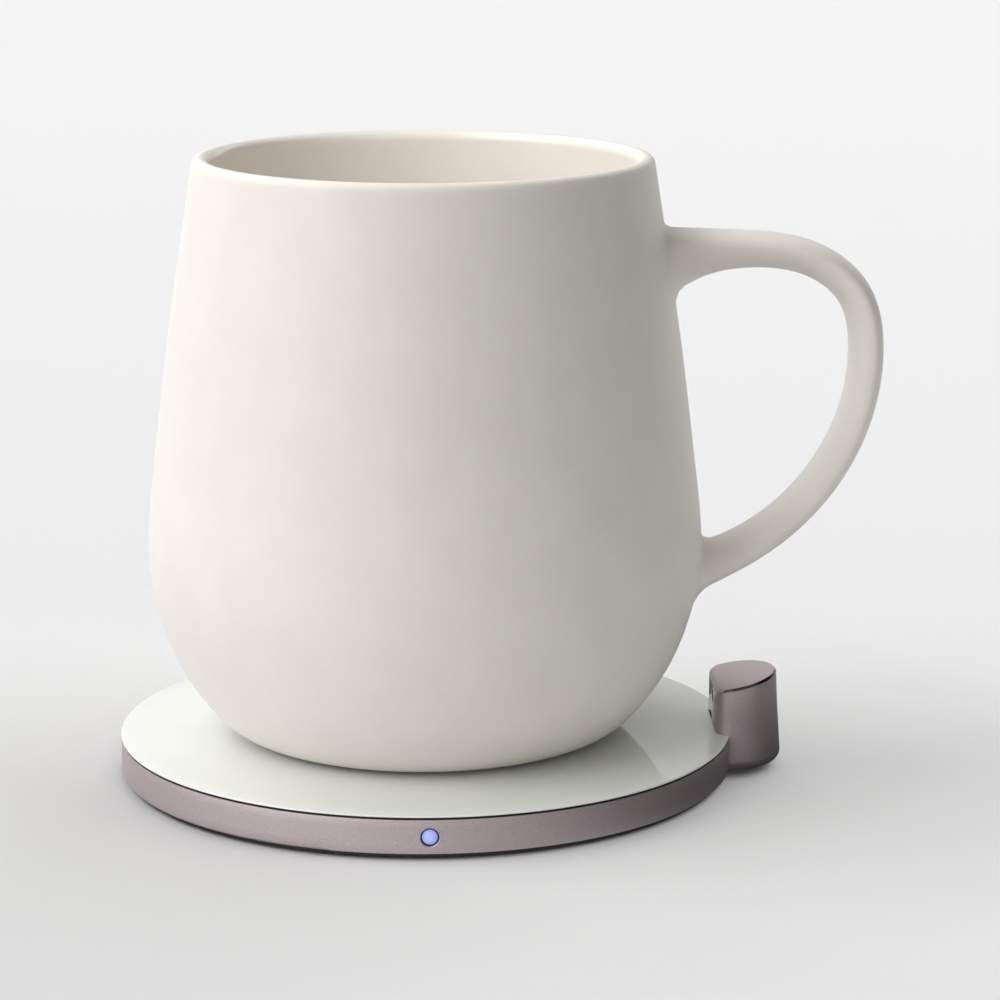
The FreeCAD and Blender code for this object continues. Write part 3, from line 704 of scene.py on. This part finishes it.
def make_mug(finish):
    """Mug and handle as one welded skin, glazed inside."""
    outer, arc, inner = mug_lines()
    lines = handle_lines()
    profile = np.vstack([outer, arc[1:], inner[1:], [(0, MUG_FLOOR_Z)]])
    under = np.array([(0, RECESS_TOP), (RECESS_R, RECESS_TOP), (RECESS_R, MUG_SEAT_Z),
                      (MUG_SEAT_R, MUG_SEAT_Z)])
    verts, faces, net, holes = mug_cage(outer, inner)
    handle_cage(verts, faces, net, holes, lines)
    piece = new_piece("mug_shell", verts, faces, (finish["porcelain"], finish["glaze"]))
    modifier = piece.modifiers.new("smooth", "SUBSURF")
    modifier.levels = modifier.render_levels = 2
    bake(piece)
    mesh = piece.data

    def settle():
        """Moves every point onto the mug's true shape; those of the recess and its seat onto theirs."""
        points = np.empty(len(mesh.vertices) * 3)
        mesh.vertices.foreach_get("co", points)
        points = points.reshape(-1, 3) / MM
        radius = np.hypot(points[:, 0], points[:, 1])
        below = (points[:, 2] < 12.3) & (radius < 27.3) & (points[:, 2] < 7.9 + (radius < 25.6) * 10)
        settled = onto_mug(points, outer, profile, lines)
        flat = np.column_stack([radius, points[:, 2]])[below]
        target = at(under, nearest_on(under, flat))
        turn = points[below, :2] / np.maximum(radius[below], 1e-9)[:, None]
        settled[below] = np.column_stack([turn * target[:, :1], target[:, 1]])
        mesh.vertices.foreach_set("co", (settled * MM).ravel())
        mesh.update()

    settle()
    build = bmesh.new()
    build.from_mesh(mesh)
    top, low = Vector((38.4, 0, 82.0)) * MM, Vector((43.6, 0, 34.0)) * MM

    def fine(vert):
        """Whether a point is on the handle or at its roots, where the net is made finer."""
        at_mm = vert.co / MM
        outside = math.hypot(at_mm.x, at_mm.y) - float(np.interp(at_mm.z, outer[:, 1], outer[:, 0]))
        near = min((vert.co - top).length / 13.5, (vert.co - low).length / 11.0) / MM < 1
        return outside > 0.8 or (near and outside > -1.0)

    chosen = {vert for vert in build.verts if fine(vert)}
    edges = [edge for edge in build.edges if edge.verts[0] in chosen and edge.verts[1] in chosen]
    bmesh.ops.subdivide_edges(build, edges=edges, cuts=1, use_grid_fill=True)
    build.to_mesh(mesh)
    build.free()
    settle()
    centres = np.empty(len(mesh.polygons) * 3)
    mesh.polygons.foreach_get("center", centres)
    centres = centres.reshape(-1, 3) / MM
    inside = (wall_distance(outer, centres)[0] < -LIP_R * 1.35) & (centres[:, 2] > 12.8)
    mesh.polygons.foreach_set("material_index", inside.astype(int))
    tidy_mesh(mesh, 50, weld=False)
    return piece


# Post

def post_outline(z, grow=0.0, inset=0.0):
    """Plan of the post at height z as points and outward normals, from one end of the flat side round to it."""
    a, b = POST_A + grow - POST_DRAFT * z, POST_B + grow - POST_DRAFT * z
    flat, corner = POST_FLAT_X - grow, POST_CORNER_R + grow

    def on_ellipse(s):
        normal = Vector((math.sin(s) / a, math.cos(s) / b)).normalized()
        return Vector((POST_X + a * math.sin(s), b * math.cos(s))), normal

    low, high = -0.9, 0.8
    for _ in range(40):
        s = (low + high) / 2
        point, normal = on_ellipse(s)
        low, high = (s, high) if (point - normal * corner).x < flat + corner else (low, s)
    point, normal = on_ellipse(s)
    middle = point - normal * corner
    pairs = []
    for k in range(13):
        y = middle.y * (2 * k / 13 - 1)
        pairs.append((Vector((flat, y)), Vector((-1, 0))))
    reach = math.atan2(normal.y, normal.x)
    for k in range(20):
        angle = math.pi + (reach - math.pi) * k / 20
        way = Vector((math.cos(angle), math.sin(angle)))
        pairs.append((middle + way * corner, way))
    for k in range(73):
        pairs.append(on_ellipse(s + (math.pi - 2 * s) * k / 72))
    for k in range(19, 0, -1):
        angle = math.pi + (reach - math.pi) * k / 20
        way = Vector((math.cos(angle), -math.sin(angle)))
        pairs.append((Vector((middle.x, -middle.y)) + way * corner, way))
    return [(p - n * inset, n) for p, n in pairs]


def brow_share(normal):
    """1 over the flat side, falling to 0 round the corners."""
    turn = math.acos(max(-1.0, min(1.0, -normal.x)))
    share = max(0.0, 1 - turn / math.radians(75))
    return share * share * (3 - 2 * share)


def make_post(finish):
    """Post: round foot, drafted side, slanted top with a fine edge, brow over the plate, screw lugs."""
    levels = []
    for k in range(9):
        angle = math.radians(90 * k / 8)
        inset, z = POST_FOOT_R * (1 - math.sin(angle)), POST_BOTTOM + POST_FOOT_R * (1 - math.cos(angle))
        levels.append([(p.x, p.y, z) for p, _ in post_outline(z, inset=inset)])
    for z in POST_SIDE_Z:
        levels.append([(p.x, p.y, z) for p, _ in post_outline(z)])
    for k in range(9):
        angle = math.radians(90 * k / 8)
        ring = []
        for p, n in post_outline(POST_EDGE_Z):
            share = brow_share(n)
            step = min(max((k - 1) / 6, 0), 1)
            e = (POST_CHAMFER * (0.06 * (k > 0) + 0.88 * step + 0.06 * (k > 7))) * (1 - share) \
                + POST_BROW_DEEP * (1 - math.cos(angle)) * share
            drop = POST_CHAMFER * (1 - step) * (1 - share) + POST_BROW_HIGH * (1 - math.sin(angle)) * share
            if k == 0:
                drop = (POST_CHAMFER * 1.12) * (1 - share) + POST_BROW_HIGH * share
            q = p - n * e
            ring.append((q.x, q.y, POST_TOP_AT_FLAT + (q.x - POST_FLAT_X) * POST_TOP_SLOPE - drop))
        levels.append(ring)
    post = stacked("post_cover", levels, [finish["anodised_aluminium"], polished_edge_painted_reflection()], 28)
    # Slanted faces of the top edge take the chamfer material, whose dark base colour paints the dark reflection
    # of the edge.
    for face in post.data.polygons:
        slanted = 0.25 < face.normal.z < 0.93 and face.center.z > 12.5 * MM
        if slanted and brow_share(Vector(face.normal.xy).normalized()) < 0.3:
            face.material_index = 1
    cutters = [block("pocket", (POST_FLAT_X + 0.8, -5.4, 2.9), (54.0, 5.4, 12.3)),
               block("seat", (POST_FLAT_X - 1, -PLATE_HALF_Y - PLATE_PLAY, GLASS_TOP - 0.2),
                     (POST_FLAT_X + PLATE_THICK + 0.1, PLATE_HALF_Y + PLATE_PLAY, PLATE_TOP + PLATE_PLAY)),
               block("sensor_way", (POST_FLAT_X + 0.5, -3, 8.4), (POST_FLAT_X + 1.0, 3, 12.29)),
               block("ribbon_way", (POST_FLAT_X - 1, -2.4, 2.91), (POST_FLAT_X + 1.0, 2.4, 4.6))]
    cut(post, cutters, 28)
    lugs = []
    for side in (-1, 1):
        near, far = sorted((side * 2.7, side * 6.0))
        bore = turned("bore", [(0, 0), (LUG_BORE_R, 0), (LUG_BORE_R, LUG_TOP - 0.5), (0, LUG_TOP - 0.5)], 32)
        move(bore, LUG_SCREW_X, side * LUG_SCREW_Y)
        lug = block("lug", (LUG_SCREW_X - 2, near, 1.6), (POST_FLAT_X + 0.4, far, LUG_TOP))
        lugs.append(cut(lug, [bore]))
    return cut(post, lugs, 28, "UNION")


def make_plate(finish):
    """Polished plate with rounded corners and the hole for the sensor's window."""
    edge, low, high = PLATE_EDGE, GLASS_TOP + 0.02, PLATE_TOP
    ring = []
    for corner in range(4):
        r = PLATE_CORNER_R if corner < 2 else PLATE_FOOT_CORNER_R
        cy = PLATE_HALF_Y - r if corner in (0, 3) else -PLATE_HALF_Y + r
        cz = high - r if corner < 2 else low + r
        for k in range(7):
            angle = math.radians(90 * corner + 15 * k)
            ring.append((cy, cz, r, math.cos(angle), math.sin(angle)))
    levels = []
    for x, inset in ((0, edge), (0.03, edge * 0.45), (0.09, edge * 0.16), (edge, 0), (PLATE_THICK, 0)):
        levels.append([(POST_FLAT_X + x, cy + (r - inset) * c, cz + (r - inset) * s)
                       for cy, cz, r, c, s in ring])
    plate = stacked("sensor_plate", levels, [finish["mirror_glass"]], 40)
    hole = turned("hole", [(0, -1), (WINDOW_R + 0.03, -1), (WINDOW_R + 0.03, 2), (0, 2)], 64)
    move(turn_to(hole, "+X"), POST_FLAT_X, 0, WINDOW_Z)
    return cut(plate, [hole], 40)


def make_window(finish):
    """Slightly domed dark lens, set just behind the plate's face."""
    profile = [(0, 0.08), (0.5, 0.085), (0.85, 0.1), (1.02, 0.13), (WINDOW_R, 0.2), (WINDOW_R, PLATE_THICK),
               (0, PLATE_THICK)]
    lens = turned("sensor_lens", profile, 64, [finish["dark_lens"]])
    return move(turn_to(lens, "+X"), POST_FLAT_X, 0, WINDOW_Z)


# Pad

def post_way(low, high, grow):
    """Cutter: the post's plan, grown, between two heights."""
    return stacked("way", [[(p.x, p.y, z) for p, _ in post_outline(z, grow)] for z in (low, high)])


def make_glass(finish):
    """Glass top with a ground and polished edge and a step that centres it in the rim."""
    r, top, low = PAD_R, GLASS_TOP, GLASS_TOP - GLASS_EDGE
    edge = [(r - 0.14 + 0.14 * math.sin(math.radians(a)), top - 0.14 + 0.14 * math.cos(math.radians(a)))
            for a in (90, 72, 54, 36, 18, 0)]
    profile = [(0, top - GLASS_THICK), (RIM_IN_R - 0.25, top - GLASS_THICK), (RIM_IN_R - 0.25, low),
               (r - 0.05, low), (r, low + 0.05)] + edge + [(r - 3, top), (r - 12, top), (0, top)]
    glass = turned("glass_disc", profile, RIM_STEPS, [finish["white_glass"]], 30)
    return cut(glass, [post_way(top - GLASS_THICK - 1, top + 1, POST_WAY_PLAY)], 30)


def make_seal(finish):
    """Black seal between rim and glass, set back a little."""
    r, low, high = PAD_R - SEAL_SETBACK, RIM_TOP, RIM_TOP + SEAL_THICK
    profile = [(RIM_IN_R - 0.2, low), (r - 0.05, low), (r, low + 0.06), (r, high - 0.06), (r - 0.05, high),
               (RIM_IN_R - 0.2, high)]
    seal = turned("seal_line", profile, RIM_STEPS, [finish["silicone_black"]], 50)
    return cut(seal, [post_way(RIM_TOP - 1, GLASS_TOP + 1, SLIP)], 50)


def stadium(name, grow, y0, y1):
    """Oblong bar with fully round ends along Y: the outline of the power inlet."""
    half, r = INLET_W / 2 - INLET_H / 2, INLET_H / 2 + grow
    ring = []
    for side in (1, -1):
        for k in range(17):
            angle = math.radians(-90 + 180 * k / 16)
            ring.append((side * (half + r * math.cos(angle)), INLET_Z + side * r * math.sin(angle)))
    return stacked(name, [[(x, y, z) for x, z in ring] for y in (y0, y1)])


def make_rim(finish):
    """Rim: turned, fine chamfer below, broken upper edge, lamp hole, inlet mouth and way for the post."""
    r, c = PAD_R, RIM_CHAMFER
    profile = [(RIM_IN_R, RIM_BOTTOM), (r - c - 0.04, RIM_BOTTOM), (r - c, RIM_BOTTOM + 0.02),
               (r - 0.02, RIM_BOTTOM + c), (r, RIM_BOTTOM + c + 0.05), (r, RIM_BOTTOM + 1.6),
               (r, RIM_TOP - 1.4), (r, RIM_TOP - 0.1), (r - 0.03, RIM_TOP - 0.03), (r - 0.1, RIM_TOP),
               (RIM_IN_R, RIM_TOP)]
    rim = turned("pad_rim", profile, RIM_STEPS, [finish["anodised_aluminium"]], 30)
    narrow, wide = LAMP_HOLE_R, LAMP_HOLE_R + 0.14
    hole = turned("hole", [(0, RIM_IN_R - 2), (narrow, RIM_IN_R - 2), (narrow, PAD_R - 0.12),
                           (wide, PAD_R + 0.02), (wide, PAD_R + 1), (0, PAD_R + 1)], 72)
    move(turn_to(hole, "-Y"), 0, 0, LAMP_Z)
    mouth = stadium("mouth", INLET_PLAY, RIM_IN_R - 2, PAD_R + 1)
    return cut(rim, [hole, mouth, post_way(0, GLASS_TOP + 1, GAP)], 30)


def make_lamp(finish):
    """Domed lens of the light pipe and the dark ring round it."""
    front = []
    for k in range(10):
        radius = LENS_R * 0.97 * k / 9
        front.append((radius, PAD_R + 0.05 - LENS_DOME_R + math.sqrt(LENS_DOME_R ** 2 - radius ** 2)))
    low = front[-1][1] - 0.05
    profile = front + [(LENS_R, low), (LENS_R, 40.4), (0, 40.4)]
    lens = move(turn_to(turned("lamp_lens", profile, 72, [finish["lamp_lens"]], 40), "-Y"), 0, 0, LAMP_Z)
    inner, outer = LENS_R + 0.02, LAMP_HOLE_R
    ring_profile = [(inner, RIM_IN_R), (inner, PAD_R - 0.3), (inner + 0.04, PAD_R - 0.2),
                    (outer - 0.06, PAD_R - 0.12), (outer, PAD_R - 0.18), (outer, RIM_IN_R)]
    ring = turned("lamp_bezel", ring_profile, 72, [finish["plastic_black"]], 40)
    return lens, move(turn_to(ring, "-Y"), 0, 0, LAMP_Z)


def make_foot(finish):
    """Anti-slip sheet with shallow concentric grooves."""
    profile = [(0, FOOT_THICK), (0, 0.0)]
    for k in range(1, 15):
        r = 3.2 * k
        profile += [(r - 0.35, 0.0), (r - 0.22, 0.14), (r + 0.22, 0.14), (r + 0.35, 0.0)]
    profile += [(FOOT_R - 0.15, 0.0), (FOOT_R, 0.15), (FOOT_R, FOOT_THICK - 0.1), (FOOT_R - 0.1, FOOT_THICK)]
    return turned("grip_sheet", profile, 192, [finish["silicone_black"]], 30)


def make_cap(finish):
    """Cap that closes the mug's base, standing on the glass, with a soft lower edge."""
    profile = [(0, 7.02), (25.7, 7.02), (25.88, 7.06), (26.0, 7.18), (26.0, MUG_SEAT_Z), (24.4, MUG_SEAT_Z),
               (24.4, CAP_TOP), (0, CAP_TOP)]
    return turned("base_cap", profile, 128, [finish["porcelain"]], 40)


def winding(name, inner_r, outer_r, low, high, turns, material):
    """Flat spiral of round wire, made by Geometry Nodes."""
    group = bpy.data.node_groups.new(name, "GeometryNodeTree")
    group.interface.new_socket("Geometry", in_out="INPUT", socket_type="NodeSocketGeometry")
    names = ("Turns", "Inner radius", "Outer radius", "Height", "Wire radius")
    for label in names:
        group.interface.new_socket(label, in_out="INPUT", socket_type="NodeSocketFloat")
    group.interface.new_socket("Geometry", in_out="OUTPUT", socket_type="NodeSocketGeometry")
    given = group.nodes.new("NodeGroupInput").outputs
    spiral = add(group, "GeometryNodeCurveSpiral",
                 {"Rotations": given["Turns"], "Start Radius": given["Inner radius"],
                  "End Radius": given["Outer radius"]}, Resolution=72, Height=0.0)
    lift = add(group, "ShaderNodeCombineXYZ", {"Z": given["Height"]})
    placed = add(group, "GeometryNodeTransform",
                 {"Geometry": spiral.outputs[0], "Translation": lift.outputs[0]})
    section = add(group, "GeometryNodeCurvePrimitiveCircle", {"Radius": given["Wire radius"]}, Resolution=10)
    wire = add(group, "GeometryNodeCurveToMesh",
               {"Curve": placed.outputs[0], "Profile Curve": section.outputs[0]})
    wire.inputs["Fill Caps"].default_value = True
    real = add(group, "GeometryNodeRealizeInstances", {"Geometry": wire.outputs[0]})
    painted = add(group, "GeometryNodeSetMaterial", {"Geometry": real.outputs[0]}, Material=material)
    out = group.nodes.new("NodeGroupOutput")
    group.links.new(painted.outputs[0], out.inputs["Geometry"])
    piece = new_object(name, bpy.data.meshes.new(name))
    modifier = piece.modifiers.new(name, "NODES")
    modifier.node_group = group
    wire_r = min((high - low) / 2, (outer_r - inner_r) / (turns + 1) / 2) * 0.98
    wanted = dict(zip(names, (turns, (inner_r + wire_r) * MM, (outer_r - wire_r) * MM, (low + high) / 2 * MM,
                              wire_r * MM)))
    for item in group.interface.items_tree:
        if item.name in wanted:
            modifier[item.identifier] = float(wanted[item.name])
    bake(piece)
    tidy_mesh(piece.data, 60, weld=False)
    return piece


# Stage

def make_stage():
    """Pale paper floor with painted light that makes it a little lighter towards the back, and a faint random
    unevenness.
    """
    material, tree, shader = new_material("matte_pale_floor", Roughness=0.8, Specular_IOR_Level=0.1)
    place = add(tree, "ShaderNodeTexCoord").outputs["Object"]
    away = add(tree, "ShaderNodeSeparateXYZ", {"Vector": place}).outputs["Y"]
    share = add(tree, "ShaderNodeMapRange", {"Value": away}, From_Min=-0.1, From_Max=1.0).outputs[0]
    unevenness_and_painted_light = add(tree, "ShaderNodeMath", {0: noise(tree, 60.0), 2: share}, operation="MULTIPLY_ADD")
    unevenness_and_painted_light.inputs[1].default_value = 0.02
    floor_painted_light = ramp(tree, unevenness_and_painted_light.outputs[0], FLOOR_PAINTED_LIGHT)
    tree.links.new(floor_painted_light, shader.inputs["Base Color"])
    corners = [(x * FLOOR_HALF, y * FLOOR_HALF, 0) for x, y in ((-1, -1), (1, -1), (1, 1), (-1, 1))]
    return new_piece("floor", corners, [[0, 1, 2, 3]], [material])


def make_flags():
    """Cards on the table that the camera doesn't see and that cast no shadow.

    The front one, of black velvet, keeps bounced light off the object. The one beside the pad glows by
    itself, from light grey to black, and only sets what the metal mirrors."""
    velvet = grained("black_velvet", "030303", "060606", 0.9, 0.5, Specular_IOR_Level=0.05)
    graded, tree, shader = new_material("graded_grey_card", Roughness=0.9, Emission_Strength=1.0)
    shader.inputs["Base Color"].default_value = linear("0C0C0C")
    place = add(tree, "ShaderNodeTexCoord").outputs["Object"]
    across = add(tree, "ShaderNodeSeparateXYZ", {"Vector": place}).outputs["X"]
    start, end = BESIDE_GRADED
    share = add(tree, "ShaderNodeMapRange", {"Value": across}, From_Min=start * MM, From_Max=end * MM).outputs[0]
    tree.links.new(ramp(tree, share, BESIDE_SHADES), shader.inputs["Emission Color"])
    first, last, reach = BESIDE_ARC
    turns = range(first, last + 1, 6)
    ring = [(turn, FOOT_R + 1) for turn in turns] + [(turn, PAD_R + reach) for turn in reversed(turns)]
    beside = [(r * math.sin(math.radians(turn)), -r * math.cos(math.radians(turn))) for turn, r in ring]
    flags = []
    for name, outline, card in (("flag_front", FRONT_FLAG, velvet), ("flag_beside", beside, graded)):
        flag = stacked(name, [[(x, y, z) for x, y in outline] for z in CARD_HEIGHTS], [card])
        flag.visible_camera = False
        flag.visible_shadow = False
        flags.append(flag)
    flags[1].visible_diffuse = False
    return flags


def only_on(light, name, receivers):
    """Makes a light shine on some objects only."""
    group = bpy.data.collections.get(name) or bpy.data.collections.new(name)
    for piece in receivers:
        if piece.name not in group.objects:
            group.objects.link(piece)
    light.light_linking.receiver_collection = group


def area_light(name, azimuth, elevation, distance, width, tall, power):
    """Soft white rectangular lamp aimed at the mug. Azimuth: 0 is at the camera, 90 to its right."""
    lamp = bpy.data.lights.new(name, "AREA")
    lamp.shape = "RECTANGLE"
    lamp.size, lamp.size_y = width, tall
    lamp.energy = power
    holder = new_object(name, lamp)
    turn, rise = math.radians(azimuth), math.radians(elevation)
    back = Vector((math.sin(turn) * math.cos(rise), -math.cos(turn) * math.cos(rise), math.sin(rise)))
    aim = Vector((0, 0, LIT_Z)) * MM
    holder.location = aim + back * distance
    holder.rotation_euler = (aim - holder.location).to_track_quat("-Z", "Y").to_euler()
    return holder


def sky_light(name, spread, power, lean=(0, 0)):
    """Wide overhead light of the same strength everywhere on the floor. Spread and lean are in degrees."""
    lamp = bpy.data.lights.new(name, "SUN")
    lamp.angle = math.radians(spread)
    lamp.energy = power
    holder = new_object(name, lamp)
    holder.rotation_euler = [math.radians(angle) for angle in (*lean, 0)]
    return holder


def make_camera():
    """Camera at the photograph's viewpoint."""
    camera = bpy.data.cameras.new("camera")
    camera.lens, camera.sensor_width = CAMERA_LENS, 36.0
    camera.clip_start, camera.clip_end = 0.01, 20.0
    holder = new_object("camera", camera)
    holder.location = [length * MM for length in CAMERA_AT]
    holder.rotation_euler = (math.radians(90 - CAMERA_PITCH), 0, math.radians(CAMERA_TURN))
    bpy.context.scene.camera = holder


def make_world(behind, in_front):
    """Backdrop: bright behind the object, where the glass mirrors it, and darker round the camera."""
    world = bpy.data.worlds.new("studio")
    bpy.context.scene.world = world
    world.use_nodes = True
    tree = world.node_tree
    way = add(tree, "ShaderNodeTexCoord").outputs["Generated"]
    away = add(tree, "ShaderNodeSeparateXYZ", {"Vector": way}).outputs["Y"]
    rear = add(tree, "ShaderNodeMapRange", {"Value": away}, interpolation_type="SMOOTHSTEP",
               From_Min=0.3, From_Max=0.95, To_Min=0.0, To_Max=behind).outputs[0]
    front = add(tree, "ShaderNodeMapRange", {"Value": away}, interpolation_type="SMOOTHSTEP",
                From_Min=-0.9, From_Max=-0.3, To_Min=in_front, To_Max=0.0).outputs[0]
    both = add(tree, "ShaderNodeMath", {0: rear, 1: front}, operation="ADD").outputs[0]
    tree.links.new(both, tree.nodes["Background"].inputs["Strength"])
    tree.nodes["Background"].inputs["Color"].default_value = linear("FFFFFF")


SLOT_OF_NODE = {
    "foot_sheet": "silicone_black", "base_plate": "plastic_black", "inner_frame": "plastic_black",
    "lamp_ring": "plastic_black", "inlet_tongue": "plastic_black", "inlet_solder_tail": "plastic_black",
    "base_screws": "steel", "post_screws": "steel", "inlet_shell": "steel", "shield_sheet": "steel",
    "rim_ring": "anodised_aluminium", "post_shell": "anodised_aluminium", "edge_seal": "silicone_black",
    "glass_tape": "foam_black", "glass_top": "white_glass", "post_face_plate": "mirror_glass",
    "sensor_ribbon": "flex_film", "sensor_window": "dark_lens", "post_sensor": "chip_black",
    "controller_chip": "chip_black", "switching_chips": "chip_black", "temperature_sensor": "chip_black",
    "post_sensor_board": "circuit_board", "main_board": "circuit_board", "light_pipe": "lamp_lens",
    "lamp_emitter": "lamp_emitter", "inlet_contacts": "gold_contact", "resonance_capacitors": "ceramic_part",
    "input_choke": "ferrite", "pad_ferrite": "ferrite", "mug_ferrite": "ferrite",
    "ribbon_socket": "plastic_cream", "coil_cover": "plastic_cream", "sending_coil": "copper",
    "receiving_coil": "copper", "heat_insulating_foam": "foam_white", "sensor_support": "foam_white",
    "sensor_heat_pad": "foam_white", "mug_body": "porcelain", "mug_handle": "porcelain",
    "mug_base_cap": "porcelain", "heating_disc": "heater",
}

scene = bpy.context.scene
scene.view_settings.view_transform = "Standard"
finish = finishes()

for node_name, slot_name in SLOT_OF_NODE.items():
    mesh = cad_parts[node_name].data
    mesh.materials.clear()
    mesh.materials.append(finish[slot_name])

lens, bezel = make_lamp(finish)
made = [
    (make_mug(finish), "mug", "porcelain", ("mug_body", "mug_handle")),
    (make_cap(finish), "mug", "porcelain", ("mug_base_cap",)),
    (make_post(finish), "pad", "anodised_aluminium", ("post_shell",)),
    (make_plate(finish), "pad", "mirror_glass", ("post_face_plate",)),
    (make_window(finish), "pad", "dark_lens", ("sensor_window",)),
    (make_glass(finish), "pad", "white_glass", ("glass_top",)),
    (make_seal(finish), "pad", "silicone_black", ("edge_seal",)),
    (make_rim(finish), "pad", "anodised_aluminium", ("rim_ring",)),
    (lens, "pad", "lamp_lens", ("light_pipe",)),
    (bezel, "pad", "plastic_black", ("lamp_ring",)),
    (make_foot(finish), "pad", "silicone_black", ("foot_sheet",)),
    (winding("sending_winding", 9.5, 25.0, 3.65, 5.05, 10, finish["copper"]), "pad", "copper",
     ("sending_coil",)),
    (winding("receiving_winding", 8.0, 23.3, 9.0, 10.2, 12, finish["copper"]), "mug", "copper",
     ("receiving_coil",)),
]
for piece, body, slot_name, nodes in made:
    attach(piece, body)
    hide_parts(*nodes)

floor = make_stage()
flags = make_flags()
thing = [piece for piece in scene.objects if piece.type == "MESH" and piece not in (floor, *flags)]
for name, *settings in SOFTBOXES:
    only_on(area_light(name, *settings), "thing_only", thing)
only_on(area_light("edge_light", *EDGE_LIGHT), "mug_only", [made[0][0], made[1][0]])
for name, *settings in SKIES:
    only_on(sky_light(name, *settings), "floor_only", [floor])
make_world(BEHIND, IN_FRONT)
make_camera()
